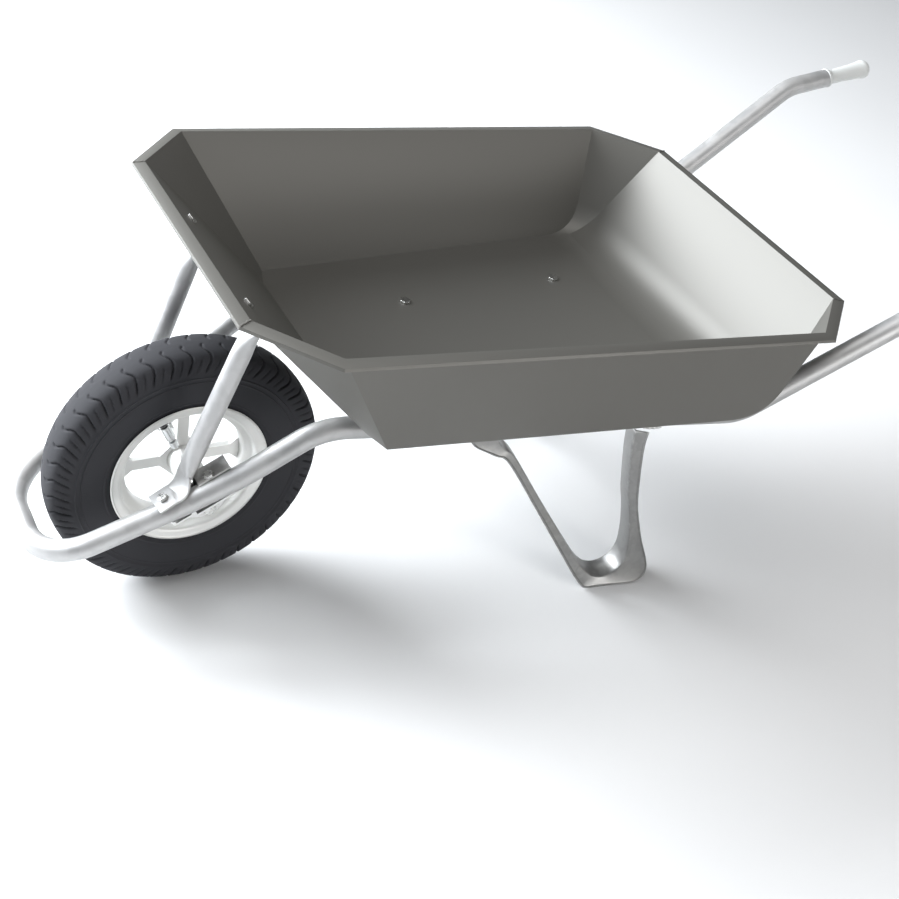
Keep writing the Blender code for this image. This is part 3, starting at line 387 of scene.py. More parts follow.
def object_position(tree):
    """Coordinates that stay with the piece."""
    return node(tree, "ShaderNodeTexCoord").outputs["Object"]


def make_edge_wear():
    """Mask of rubbed edges, broken up by noise."""
    group, given, put = new_group("Edge wear", [
        ("Amount", "NodeSocketFloat", 0.5), ("Break-up scale", "NodeSocketFloat", 60.0)],
        [("Mask", "NodeSocketFloat")])
    pointed = node(group, "ShaderNodeNewGeometry").outputs["Pointiness"]
    broken = noise(group, object_position(group), given.outputs["Break-up scale"], 4.0)
    raised = math_node(group, "ADD", pointed, math_node(group, "MULTIPLY", broken, 0.06))
    mask = spread(group, raised, 0.555, 0.615)
    group.links.new(math_node(group, "MULTIPLY", mask, given.outputs["Amount"], clamp=True),
                    put.inputs["Mask"])
    return group


def make_dust():
    """Mask of dust and dried spatter that settles on faces which look up."""
    group, given, put = new_group("Dust", [
        ("Amount", "NodeSocketFloat", 0.3), ("Scale", "NodeSocketFloat", 14.0)],
        [("Mask", "NodeSocketFloat")])
    place = object_position(group)
    upward = node(group, "ShaderNodeSeparateXYZ")
    group.links.new(node(group, "ShaderNodeNewGeometry").outputs["Normal"], upward.inputs[0])
    facing = spread(group, upward.outputs["Z"], -0.1, 1.0, 0.25, 1.0)
    cloud = spread(group, noise(group, place, given.outputs["Scale"], 5.0), 0.38, 0.72)
    fine = spread(group, noise(group, place, 190.0, 2.0), 0.35, 0.75, 0.55, 1.0)
    mask = math_node(group, "MULTIPLY", math_node(group, "MULTIPLY", facing, cloud), fine)
    group.links.new(math_node(group, "MULTIPLY", mask, given.outputs["Amount"], clamp=True),
                    put.inputs["Mask"])
    return group


def make_fine_grain():
    """Even small-scale roughness and height, for paint, moulded plastic and rubber."""
    group, given, put = new_group("Fine grain", [
        ("Scale", "NodeSocketFloat", 600.0), ("Patch scale", "NodeSocketFloat", 8.0),
        ("Patch depth", "NodeSocketFloat", 0.6)],
        [("Height", "NodeSocketFloat"), ("Tone", "NodeSocketFloat")])
    place = object_position(group)
    small = noise(group, place, given.outputs["Scale"], 2.0)
    patch = noise(group, place, given.outputs["Patch scale"], 4.0)
    height = math_node(group, "ADD", math_node(group, "MULTIPLY", small, 0.25),
                       math_node(group, "MULTIPLY", patch, given.outputs["Patch depth"]))
    group.links.new(height, put.inputs["Height"])
    group.links.new(patch, put.inputs["Tone"])
    return group


def make_spangle():
    """Zinc crystals: patches of slightly different tone with soft borders."""
    group, given, put = new_group("Spangle", [("Scale", "NodeSocketFloat", 90.0)],
                                  [("Tone", "NodeSocketFloat"), ("Height", "NodeSocketFloat")])
    place = object_position(group)
    bent = node(group, "ShaderNodeVectorMath", operation="ADD")
    wobble = node(group, "ShaderNodeTexNoise")
    wobble.inputs["Scale"].default_value = 40.0
    group.links.new(place, wobble.inputs["Vector"])
    scaled = node(group, "ShaderNodeVectorMath", operation="SCALE")
    scaled.inputs["Scale"].default_value = 0.012
    group.links.new(wobble.outputs["Color"], scaled.inputs[0])
    group.links.new(place, bent.inputs[0])
    group.links.new(scaled.outputs[0], bent.inputs[1])
    cells = node(group, "ShaderNodeTexVoronoi", feature="SMOOTH_F1")
    cells.inputs["Smoothness"].default_value = 0.6
    group.links.new(given.outputs["Scale"], cells.inputs["Scale"])
    group.links.new(bent.outputs[0], cells.inputs["Vector"])
    grey = node(group, "ShaderNodeRGBToBW")
    group.links.new(cells.outputs["Color"], grey.inputs[0])
    group.links.new(grey.outputs[0], put.inputs["Tone"])
    group.links.new(noise(group, place, 25.0, 4.0), put.inputs["Height"])
    return group


def make_scratches():
    """Fine rubbed lines in the direction given by stretching the coordinates."""
    group, given, put = new_group("Scratches", [
        ("Stretch", "NodeSocketVector", (4.0, 120.0, 120.0)), ("Amount", "NodeSocketFloat", 0.5)],
        [("Mask", "NodeSocketFloat")])
    stretched = node(group, "ShaderNodeVectorMath", operation="MULTIPLY")
    group.links.new(object_position(group), stretched.inputs[0])
    group.links.new(given.outputs["Stretch"], stretched.inputs[1])
    lines = spread(group, noise(group, stretched.outputs[0], 3.0, 6.0, 0.7), 0.60, 0.72)
    where = spread(group, noise(group, object_position(group), 6.0, 2.0), 0.45, 0.65)
    mask = math_node(group, "MULTIPLY", math_node(group, "MULTIPLY", lines, where),
                     given.outputs["Amount"], clamp=True)
    group.links.new(mask, put.inputs["Mask"])
    return group


GROUP_MAKERS = {"Edge wear": make_edge_wear, "Dust": make_dust, "Fine grain": make_fine_grain,
                "Spangle": make_spangle, "Scratches": make_scratches}


def use_group(tree, name, **values):
    """Places a shared group in a material, made the first time that it is needed."""
    made = tree.nodes.new("ShaderNodeGroup")
    made.node_tree = bpy.data.node_groups.get(name) or GROUP_MAKERS[name]()
    for label, value in values.items():
        made.inputs[label.replace("_", " ")].default_value = value
    return made


def start_material(name):
    """A new material, its node tree and its Principled shader."""
    made = bpy.data.materials.new(name)
    made.use_nodes = True
    return made, made.node_tree, made.node_tree.nodes["Principled BSDF"]


def add_bump(tree, shader, height, strength, distance):
    """Raises the surface's normals by the height."""
    bump = node(tree, "ShaderNodeBump")
    bump.inputs["Strength"].default_value = strength
    bump.inputs["Distance"].default_value = distance
    tree.links.new(height, bump.inputs["Height"])
    tree.links.new(bump.outputs["Normal"], shader.inputs["Normal"])


# ------------------------------------------------------------------ materials
BARE_EDGE, RUBBED_PLATING, RUBBED_PAINT = (0.86, 0.86, 0.85), (0.9, 0.9, 0.88), (0.075, 0.075, 0.078)
FINE_SCRATCH = (0.025, 0.0245, 0.024)
ZINC, BRONZE, CHROME = (0.66, 0.66, 0.64), (0.45, 0.33, 0.20), (0.78, 0.80, 0.82)
DUST_ON_TUBE, DUST_ON_SHEET, DUST_ON_TRAY = (0.52, 0.49, 0.44), (0.48, 0.45, 0.40), (0.030, 0.029, 0.028)
DIRT_ON_RIM, DUST_ON_RUBBER, DIRT_ON_GRIP = (0.36, 0.31, 0.27), (0.045, 0.042, 0.038), (0.30, 0.28, 0.25)


def shaded(colour, share):
    """The colour made darker or lighter by a share."""
    return tuple(part * share for part in colour)


def silver_tube(colour):
    """Bright zinc-rich coating on the round tubes."""
    made, tree, shader = start_material("silver_tube")
    spangle = use_group(tree, "Spangle", Scale=70.0)
    marks = use_group(tree, "Scratches", Stretch=(5.0, 60.0, 60.0), Amount=0.45)
    dust = use_group(tree, "Dust", Amount=0.20, Scale=18.0)
    tone = mix_colour(tree, spread(tree, spangle.outputs["Tone"], 0.2, 0.8), shaded(colour, 0.90),
                      tuple(colour))
    tone = mix_colour(tree, marks.outputs["Mask"], tone, shaded(colour, 0.72))
    tone = mix_colour(tree, dust.outputs["Mask"], tone, DUST_ON_TUBE)
    tree.links.new(tone, shader.inputs["Base Color"])
    rough = math_node(tree, "ADD", spread(tree, spangle.outputs["Tone"], 0.0, 1.0, 0.42, 0.52),
                      math_node(tree, "MULTIPLY", dust.outputs["Mask"], 0.4))
    tree.links.new(rough, shader.inputs["Roughness"])
    metal = math_node(tree, "SUBTRACT", 0.62, math_node(tree, "MULTIPLY", dust.outputs["Mask"], 0.8))
    tree.links.new(metal, shader.inputs["Metallic"])
    add_bump(tree, shader, spangle.outputs["Height"], 0.25, 0.0006)
    return made


def pressed_sheet(colour):
    """Zinc-coated pressed sheet of the legs, brackets and rails, duller than the tube."""
    made, tree, shader = start_material("pressed_sheet")
    spangle = use_group(tree, "Spangle", Scale=120.0)
    wear = use_group(tree, "Edge wear", Amount=0.7, **{"Break-up_scale": 90.0})
    dust = use_group(tree, "Dust", Amount=0.35, Scale=22.0)
    tone = mix_colour(tree, spread(tree, spangle.outputs["Tone"], 0.15, 0.85),
                      shaded(colour, 0.86), tuple(colour))
    tone = mix_colour(tree, wear.outputs["Mask"], tone, BARE_EDGE)
    tone = mix_colour(tree, dust.outputs["Mask"], tone, DUST_ON_SHEET)
    tree.links.new(tone, shader.inputs["Base Color"])
    rough = math_node(tree, "ADD", spread(tree, spangle.outputs["Tone"], 0.0, 1.0, 0.34, 0.46),
                      math_node(tree, "MULTIPLY", dust.outputs["Mask"], 0.35))
    tree.links.new(rough, shader.inputs["Roughness"])
    metal = math_node(tree, "SUBTRACT", 0.80, math_node(tree, "MULTIPLY", dust.outputs["Mask"], 0.8))
    tree.links.new(metal, shader.inputs["Metallic"])
    add_bump(tree, shader, spangle.outputs["Height"], 0.35, 0.0008)
    return made


def smooth_metal(name, colour, roughness):
    """Smooth bare or plated metal of the fasteners, axle, spacers, bushes and valve."""
    made, tree, shader = start_material(name)
    grain = use_group(tree, "Fine grain", Scale=900.0, Patch_scale=140.0, Patch_depth=0.4)
    wear = use_group(tree, "Edge wear", Amount=0.6, **{"Break-up_scale": 300.0})
    tone = mix_colour(tree, spread(tree, grain.outputs["Tone"], 0.3, 0.7),
                      shaded(colour, 0.85), tuple(colour))
    tone = mix_colour(tree, wear.outputs["Mask"], tone, RUBBED_PLATING)
    tree.links.new(tone, shader.inputs["Base Color"])
    tree.links.new(spread(tree, grain.outputs["Tone"], 0.2, 0.8, roughness, roughness + 0.12),
                   shader.inputs["Roughness"])
    shader.inputs["Metallic"].default_value = 1.0
    add_bump(tree, shader, grain.outputs["Height"], 0.2, 0.0002)
    return made


def tray_paint(colour):
    """Glossy dark paint, a little uneven, rubbed along its edges and lightly scratched."""
    made, tree, shader = start_material("tray_paint")
    grain = use_group(tree, "Fine grain", Scale=700.0, Patch_scale=4.5, Patch_depth=1.0)
    wear = use_group(tree, "Edge wear", Amount=0.55, **{"Break-up_scale": 45.0})
    marks = use_group(tree, "Scratches", Stretch=(3.0, 70.0, 40.0), Amount=0.18)
    dust = use_group(tree, "Dust", Amount=0.025, Scale=7.0)
    tone = mix_colour(tree, spread(tree, grain.outputs["Tone"], 0.3, 0.7),
                      shaded(colour, 0.82), shaded(colour, 1.15))
    tone = mix_colour(tree, marks.outputs["Mask"], tone, FINE_SCRATCH)
    tone = mix_colour(tree, dust.outputs["Mask"], tone, DUST_ON_TRAY)
    tone = mix_colour(tree, wear.outputs["Mask"], tone, RUBBED_PAINT)
    tree.links.new(tone, shader.inputs["Base Color"])
    rough = math_node(tree, "ADD", spread(tree, grain.outputs["Tone"], 0.2, 0.8, 0.14, 0.20),
                      math_node(tree, "MULTIPLY", dust.outputs["Mask"], 0.5))
    tree.links.new(rough, shader.inputs["Roughness"])
    shader.inputs["Specular IOR Level"].default_value = 0.75
    shader.inputs["Coat Weight"].default_value = 0.6
    shader.inputs["Coat Roughness"].default_value = 0.10
    add_bump(tree, shader, grain.outputs["Height"], 0.14, 0.0005)
    return made


def rim_paint(colour):
    """Silver wheel paint, brownish where dirt has dried on it."""
    made, tree, shader = start_material("rim_paint")
    grain = use_group(tree, "Fine grain", Scale=800.0, Patch_scale=24.0, Patch_depth=0.5)
    dust = use_group(tree, "Dust", Amount=0.45, Scale=26.0)
    wear = use_group(tree, "Edge wear", Amount=0.5, **{"Break-up_scale": 120.0})
    tone = mix_colour(tree, spread(tree, grain.outputs["Tone"], 0.3, 0.7),
                      shaded(colour, 0.90), tuple(colour))
    tone = mix_colour(tree, dust.outputs["Mask"], tone, DIRT_ON_RIM)
    tone = mix_colour(tree, wear.outputs["Mask"], tone, BARE_EDGE)
    tree.links.new(tone, shader.inputs["Base Color"])
    tree.links.new(spread(tree, grain.outputs["Tone"], 0.2, 0.8, 0.33, 0.46), shader.inputs["Roughness"])
    shader.inputs["Metallic"].default_value = 0.55
    add_bump(tree, shader, grain.outputs["Height"], 0.25, 0.0004)
    return made


def black_rubber(name, colour, dusty):
    """Moulded rubber: fine grain under a little dry dust."""
    made, tree, shader = start_material(name)
    grain = use_group(tree, "Fine grain", Scale=1100.0, Patch_scale=30.0, Patch_depth=0.5)
    dust = use_group(tree, "Dust", Amount=dusty, Scale=32.0)
    tone = mix_colour(tree, spread(tree, grain.outputs["Tone"], 0.3, 0.7),
                      shaded(colour, 0.75), shaded(colour, 1.3))
    tone = mix_colour(tree, dust.outputs["Mask"], tone, DUST_ON_RUBBER)
    tree.links.new(tone, shader.inputs["Base Color"])
    tree.links.new(spread(tree, grain.outputs["Tone"], 0.2, 0.8, 0.27, 0.38), shader.inputs["Roughness"])
    add_bump(tree, shader, grain.outputs["Height"], 0.35, 0.0003)
    return made


def grip_plastic(colour):
    """Light grey moulded plastic, slightly soiled."""
    made, tree, shader = start_material("grip_plastic")
    grain = use_group(tree, "Fine grain", Scale=1300.0, Patch_scale=35.0, Patch_depth=0.3)
    dust = use_group(tree, "Dust", Amount=0.25, Scale=40.0)
    tone = mix_colour(tree, spread(tree, grain.outputs["Tone"], 0.3, 0.7),
                      shaded(colour, 0.90), tuple(colour))
    tone = mix_colour(tree, dust.outputs["Mask"], tone, DIRT_ON_GRIP)
    tree.links.new(tone, shader.inputs["Base Color"])
    tree.links.new(spread(tree, grain.outputs["Tone"], 0.2, 0.8, 0.38, 0.50), shader.inputs["Roughness"])
    add_bump(tree, shader, grain.outputs["Height"], 0.30, 0.0003)
    return made


def pale_floor(colour):
    """Plain matt floor with hardly any tone of its own."""
    made, tree, shader = start_material("pale_floor")
    patch = noise(tree, object_position(tree), 1.5, 2.0)
    tone = mix_colour(tree, spread(tree, patch, 0.3, 0.7), shaded(colour, 0.985), tuple(colour))
    tree.links.new(tone, shader.inputs["Base Color"])
    shader.inputs["Roughness"].default_value = 0.9
    return made


def finish_of(name, context):
    """The named finish, made once with the scene's colours."""
    known = bpy.data.materials.get(name)
    if known:
        return known
    tube, wheel = context.scene.barrow_frame, context.scene.barrow_wheel
    makers = {
        "silver_tube": lambda: silver_tube(tube.tube_colour),
        "pressed_sheet": lambda: pressed_sheet(tube.sheet_colour),
        "bright_zinc": lambda: smooth_metal("bright_zinc", ZINC, 0.22),
        "bearing_bronze": lambda: smooth_metal("bearing_bronze", BRONZE, 0.30),
        "valve_chrome": lambda: smooth_metal("valve_chrome", CHROME, 0.10),
        "tray_paint": lambda: tray_paint(context.scene.barrow_tray.colour),
        "rim_paint": lambda: rim_paint(wheel.rim_colour),
        "tyre_rubber": lambda: black_rubber("tyre_rubber", wheel.rubber_colour, 0.28),
        "valve_rubber": lambda: black_rubber("valve_rubber", wheel.rubber_colour, 0.15),
        "grip_plastic": lambda: grip_plastic(tube.grip_colour),
    }
    return makers[name]()


# ------------------------------------------------------------------ stage
COOL_LIGHT, WARM_LIGHT = (0.92, 0.96, 1.0), (1.0, 0.99, 0.98)
# name, place, width, share of the key light's power and colour
LIGHTS = (
    ("front_light", (-2.1, 2.2, 1.75), 2.7, 1.0, COOL_LIGHT),
    ("top_light", (-0.6, -0.3, 3.6), 3.0, 0.15, WARM_LIGHT),
    ("left_light", (1.2, -3.4, 1.1), 2.0, 0.17, WARM_LIGHT),
    ("nose_light", (-2.5, 0.4, 1.65), 1.0, 0.10, (0.90, 0.95, 1.0)),
)
CAMERA_PLACE = Vector((-0.6356, -1.7129, 1.6080))
CAMERA_YAW, CAMERA_PITCH, CAMERA_ROLL = -0.5477, -0.5632, 0.162


class BARROW_OT_stage(bpy.types.Operator):
    """Adds the floor, the soft lights and the camera"""
    bl_idname = "barrow.stage"
    bl_label = "Stage"

    def execute(self, context):
        settings = context.scene.barrow_stage
        self.add_floor(settings)
        self.add_lights(context, settings)
        self.add_camera(context)
        return {"FINISHED"}

    def add_floor(self, settings):
        """A wide flat floor just under the wheel and the feet."""
        bm = bmesh.new()
        half, steps = 9.0, 12
        bmesh.ops.create_grid(bm, x_segments=steps, y_segments=steps, size=half)
        mesh = bpy.data.meshes.new("studio_floor")
        bm.to_mesh(mesh)
        bm.free()
        mesh.materials.append(pale_floor(settings.floor_colour))
        floor = bpy.data.objects.new("studio_floor", mesh)
        floor.location.z = -0.0005
        bpy.context.scene.collection.objects.link(floor)

    def add_lights(self, context, settings):
        """Four round soft lights and dim surroundings."""
        world = bpy.data.worlds.new("studio")
        world.use_nodes = True
        back = world.node_tree.nodes["Background"]
        back.inputs["Color"].default_value = (0.93, 0.96, 1.0, 1.0)
        back.inputs["Strength"].default_value = settings.world_strength
        context.scene.world = world
        context.scene.view_settings.view_transform = "Standard"
        aim = Vector((0.1, 0.0, 0.3))
        for name, place, size, share, colour in LIGHTS:
            lamp = bpy.data.lights.new(name, "AREA")
            lamp.shape = "DISK"
            lamp.size = size
            lamp.energy = settings.key_power * share
            lamp.color = colour
            holder = bpy.data.objects.new(name, lamp)
            holder.location = place
            holder.rotation_euler = (aim - Vector(place)).to_track_quat("-Z", "Y").to_euler()
            context.scene.collection.objects.link(holder)

    def add_camera(self, context):
        """Looks down from the left, in front of the tray, and leans a little to one side."""
        yaw, pitch, roll = CAMERA_YAW, CAMERA_PITCH, CAMERA_ROLL
        ahead = Vector((-math.sin(yaw) * math.cos(pitch), math.cos(yaw) * math.cos(pitch), math.sin(pitch)))
        right = Vector((math.cos(yaw), math.sin(yaw), 0))
        up = right.cross(ahead)
        level_right = right * math.cos(roll) + up * math.sin(roll)
        level_up = up * math.cos(roll) - right * math.sin(roll)
        lens = bpy.data.cameras.new("camera")
        lens.lens = 63.5
        lens.sensor_width = 36.0
        lens.shift_y = -0.125
        lens.clip_start = 0.05
        camera = bpy.data.objects.new("camera", lens)
        turn = Matrix((level_right, level_up, -ahead)).transposed().to_4x4()
        camera.matrix_world = Matrix.Translation(CAMERA_PLACE + FRAME_SHIFT) @ turn
        context.scene.collection.objects.link(camera)
        context.scene.camera = camera


# ------------------------------------------------------------------ tray
# x and y of the corners of the tray's right half, from front to rear
RIM_CORNERS = ((-0.002, 0.212), (0.083, 0.308), (0.823, 0.3265), (0.907, 0.241))
FLOOR_CORNERS = ((0.1866, 0.199), (0.1986, 0.2350), (0.7936, 0.2821), (0.7996, 0.2701))
PANEL_DOWN = Vector((FLOOR_CORNERS[0][0] - RIM_CORNERS[0][0], 0,
                     floor_z(FLOOR_CORNERS[1][0]) - rim_z(RIM_CORNERS[0][0]))).normalized()
PANEL_OUT = Vector((PANEL_DOWN.z, 0, -PANEL_DOWN.x))
FLANGE_DROP, LIP_REACH = 0.0028, 0.0008
CURVED_CORNERS = (2, 3, 4, 5)
REAR_CURVE_REACH, REAR_CURVE_STEPS = 0.058, 18
BEAD_RADIUS = 0.001


def panel_point(down, y, outward):
    """A point on the tray's front wall: along its slope from the rim, across, and out from it."""
    return Vector((RIM_CORNERS[0][0], y, rim_z(RIM_CORNERS[0][0]))) + PANEL_DOWN * down + PANEL_OUT * outward


def round_tray(corners, height):
    """Eight corners round the tray, from the right front, with the height at each x."""
    right = [Vector((x, y, height(x))) for x, y in corners]
    left = [Vector((x, -y, height(x))) for x, y in reversed(corners)]
    return right + left


def pushed_out(loop, reach, drop):
    """The same loop of corners, moved outward in plan by an even distance, and down."""
    moved = []
    for i, corner in enumerate(loop):
        edges = (corner - loop[i - 1], loop[(i + 1) % len(loop)] - corner)
        normals = [Vector((-edge.y, edge.x, 0)).normalized() for edge in edges]
        miter = (normals[0] + normals[1]).normalized()
        moved.append(corner + miter * reach / miter.dot(normals[0]) - Vector((0, 0, drop)))
    return moved


def shares_along(column):
    """How far down the column each of its points lies, from 0 to 1."""
    lengths = [0.0]
    for upper, lower in zip(column, column[1:]):
        lengths.append(lengths[-1] + (lower - upper).length)
    return [length / lengths[-1] for length in lengths]


class BARROW_OT_tray(bpy.types.Operator):
    """Builds the folded tray with its flange, lip and corner welds"""
    bl_idname = "barrow.tray"
    bl_label = "Tray"

    def execute(self, context):
        settings = context.scene.barrow_tray
        paint = finish_of("tray_paint", context)
        tray = self.fold_sheet(settings, paint)
        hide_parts("tray")
        for word, side in SIDES:
            for place, right_corner in (("front", 0), ("rear", 3)):
                corner = right_corner if side == RIGHT else 7 - right_corner
                self.weld_corner(f"tray_weld_{place}_{word}", corner, settings, paint)
        return {"FINISHED"}

    def rear_curve(self, fold, corner, ahead):
        """From the rim's fold down the rear corner, then on a curve that ends in the floor."""
        upper = corner + (fold - corner).normalized() * REAR_CURVE_REACH
        lower = corner + ahead * REAR_CURVE_REACH
        points = [fold]
        for k in range(REAR_CURVE_STEPS + 1):
            share = k / REAR_CURVE_STEPS
            points.append(upper * (1 - share) ** 2 + corner * 2 * share * (1 - share) + lower * share ** 2)
        return points

    def fold_sheet(self, settings, paint):
        """The tray as one skin with rounded folds, given the sheet's thickness by a modifier."""
        folds = round_tray(RIM_CORNERS, rim_z)
        floor = round_tray(FLOOR_CORNERS, floor_z)
        columns = []
        for i, (fold, corner) in enumerate(zip(folds, floor)):
            ahead = (floor[1] - floor[2] if i < 4 else floor[6] - floor[5]).normalized()
            curved = i in CURVED_CORNERS
            columns.append(self.rear_curve(fold, corner, ahead) if curved else [fold, corner])
        shares = shares_along(columns[CURVED_CORNERS[0]])
        columns = [[column[0].lerp(column[1], share) for share in shares] if len(column) == 2 else column
                   for column in columns]
        bm = bmesh.new()
        lip = pushed_out(folds, settings.flange + LIP_REACH, FLANGE_DROP + settings.lip)
        flange = pushed_out(folds, settings.flange, FLANGE_DROP)
        columns = [ring(bm, column) for column in columns]
        top = [column[0] for column in columns]
        edge = ring(bm, flange)
        join_rings(bm, ring(bm, lip), edge)
        join_rings(bm, edge, top)
        for first, second in zip(columns, columns[1:] + columns[:1]):
            for i in range(len(first) - 1):
                bm.faces.new((first[i], first[i + 1], second[i + 1], second[i]))
        bm.faces.new([column[-1] for column in columns])
        bmesh.ops.recalc_face_normals(bm, faces=bm.faces)
        lowest = min(bm.faces, key=lambda face: face.calc_center_median().z)
        if lowest.normal.z < 0:
            bmesh.ops.reverse_faces(bm, faces=bm.faces)
        folded = [line for line in bm.edges
                  if not line.is_boundary and line.calc_face_angle() > math.radians(14)]
        bmesh.ops.bevel(bm, geom=folded, offset=settings.fold, segments=4, profile=0.5,
                        affect="EDGES", clamp_overlap=True)
        tray = finish_mesh("tray_shell", bm, paint, "frame", smooth_angle=60.0)
        sheet = tray.modifiers.new("sheet", "SOLIDIFY")
        sheet.thickness = settings.sheet
        sheet.offset = -1.0
        sheet.use_even_offset = True
        edge = tray.modifiers.new("rounded sheet edge", "BEVEL")
        edge.width = 0.0004
        edge.segments = 2
        edge.limit_method = "ANGLE"
        edge.angle_limit = math.radians(60)
        return tray

    def weld_corner(self, name, corner, settings, paint):
        """A ground weld bead across the flange at one corner, slightly rippled."""
        folds = round_tray(RIM_CORNERS, rim_z)
        flange = pushed_out(folds, settings.flange, FLANGE_DROP)
        start = flange[corner] * 0.97 + folds[corner] * 0.03 + Vector((0, 0, 0.0004))
        path = [start.lerp(folds[corner] + Vector((0, 0, 0.0006)), k / 8) for k in range(9)]
        across = (path[-1] - path[0]).normalized().cross(Vector((0, 0, 1))).normalized()
        sections = []
        for i, point in enumerate(path):
            ripple = (0.0010 + 0.0003 * math.sin(i * 2.3 + corner)) / BEAD_RADIUS
            sway = across * 0.0006 * math.sin(i * 1.7 + corner)
            sections.append([point + sway + across * (a * 1.6 * ripple) + Vector((0, 0, b * 0.6 * ripple))
                             for a, b in circle(BEAD_RADIUS, 8)])
        bead = finish_mesh(name, loft(sections), paint, "frame", 70.0)


# ------------------------------------------------------------------ tubes
SPIGOT_LENGTH, SPIGOT_RADIUS = 0.045, 0.0137
BEND_RADII = (0.0, 0.10, 0.08, 0.11, 0.20, 0.20, 0.086)
STAY_THICKNESS, STAY_END_HALF_WIDTH, STAY_TOP_Y = 0.0040, 0.0205, 0.112
STAY_FORWARD = Vector((-0.96, 0, 0.29))


def tube_half(radii):
    """Corners of one half of the frame tube, each with its bend radius, from handle to nose."""
    under = GAP + TRAY_SHEET + TUBE_RADIUS
    bends = (HANDLE_END, HANDLE_BEND, (REAR_BEND_X, floor_z(REAR_BEND_X) - under),
             (UNDER_FLOOR_FRONT_X, floor_z(UNDER_FLOOR_FRONT_X) - under), SEAT_REAR, SEAT_FRONT, NOSE)
    return [((x, tube_y(x), z), radius) for (x, z), radius in zip(bends, radii)]


class BARROW_OT_frame_tube(bpy.types.Operator):
    """Bends the single frame tube from one handle round the nose to the other"""
    bl_idname = "barrow.frame_tube"
    bl_label = "Frame tube"

    def execute(self, context):
        settings = context.scene.barrow_frame
        right = tube_half(BEND_RADII)
        left = [((x, -y, z), radius) for (x, y, z), radius in reversed(right)]
        path = bent_path(right + left)
        bm = bmesh.new()
        skins = []
        for radius in (settings.tube_radius, settings.tube_radius - settings.tube_wall):
            rings = [ring(bm, points) for points in sweep_sections(path, circle(radius, 28), (0, 0, 1))]
            for first, second in zip(rings, rings[1:]):
                join_rings(bm, first, second)
            skins.append(rings)
        for end in (0, -1):
            join_rings(bm, skins[0][end], skins[1][end])
        tube = finish_mesh("frame_tube_bent", bm, finish_of("silver_tube", context), "frame")
        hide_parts("frame_tube")
        return {"FINISHED"}


class BARROW_OT_grips(bpy.types.Operator):
    """Pushes the two plastic grips into the tube's ends"""
    bl_idname = "barrow.grips"
    bl_label = "Grips"

    def execute(self, context):
        along = Vector((HANDLE_END[0] - HANDLE_BEND[0], 0, HANDLE_END[1] - HANDLE_BEND[1])).normalized()
        collar, waist, flare, length = 0.0170, 0.0128, 0.0168, 0.0917
        outline = [(-SPIGOT_LENGTH, 0.0), (-SPIGOT_LENGTH, 0.0120), (-0.043, SPIGOT_RADIUS),
                   (GAP, SPIGOT_RADIUS),
                   (GAP, collar - 0.0006), (0.0008, collar), (0.0042, collar), (0.0052, collar - 0.0008),
                   (0.0062, waist + 0.0022), (0.0085, waist + 0.0006), (0.012, waist)]
        outline += [(0.012 + 0.058 * k / 10, waist + 0.0024 * (k / 10) ** 2
                     + 0.00025 * math.sin(math.pi * k)) for k in range(1, 11)]
        outline += [(0.0760, flare - 0.0008), (0.0800, flare), (0.0840, flare - 0.0003),
                    (0.0870, flare - 0.0014), (0.0893, flare - 0.0034), (0.0910, flare - 0.0068),
                    (length, flare - 0.0110), (length, 0.0)]
        for word, side in SIDES:
            end = Vector((HANDLE_END[0], side * tube_y(HANDLE_END[0]), HANDLE_END[1]))
            bm = revolve(outline, 40)
            bmesh.ops.transform(bm, matrix=axis_matrix(end, along), verts=bm.verts)
            grip = finish_mesh(f"grip_moulded_{word}", bm, finish_of("grip_plastic", context), "frame", 40.0)
            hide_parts(f"grip_{word}")
        return {"FINISHED"}


SEAT_UP_FRONT = Vector((-(SEAT_FRONT[1] - NOSE[1]), 0, SEAT_FRONT[0] - NOSE[0])).normalized()


def stay_foot_seat(side):
    """Where the stay's lower tab rests on top of the tube, under its bolt."""
    reach = TUBE_RADIUS + 2 * GAP
    x = -0.0665 - SEAT_UP_FRONT.x * reach
    z = NOSE[1] + (SEAT_FRONT[1] - NOSE[1]) * (x - NOSE[0]) / (SEAT_FRONT[0] - NOSE[0])
    return Vector((x, side * 0.1195, z)) + SEAT_UP_FRONT * reach


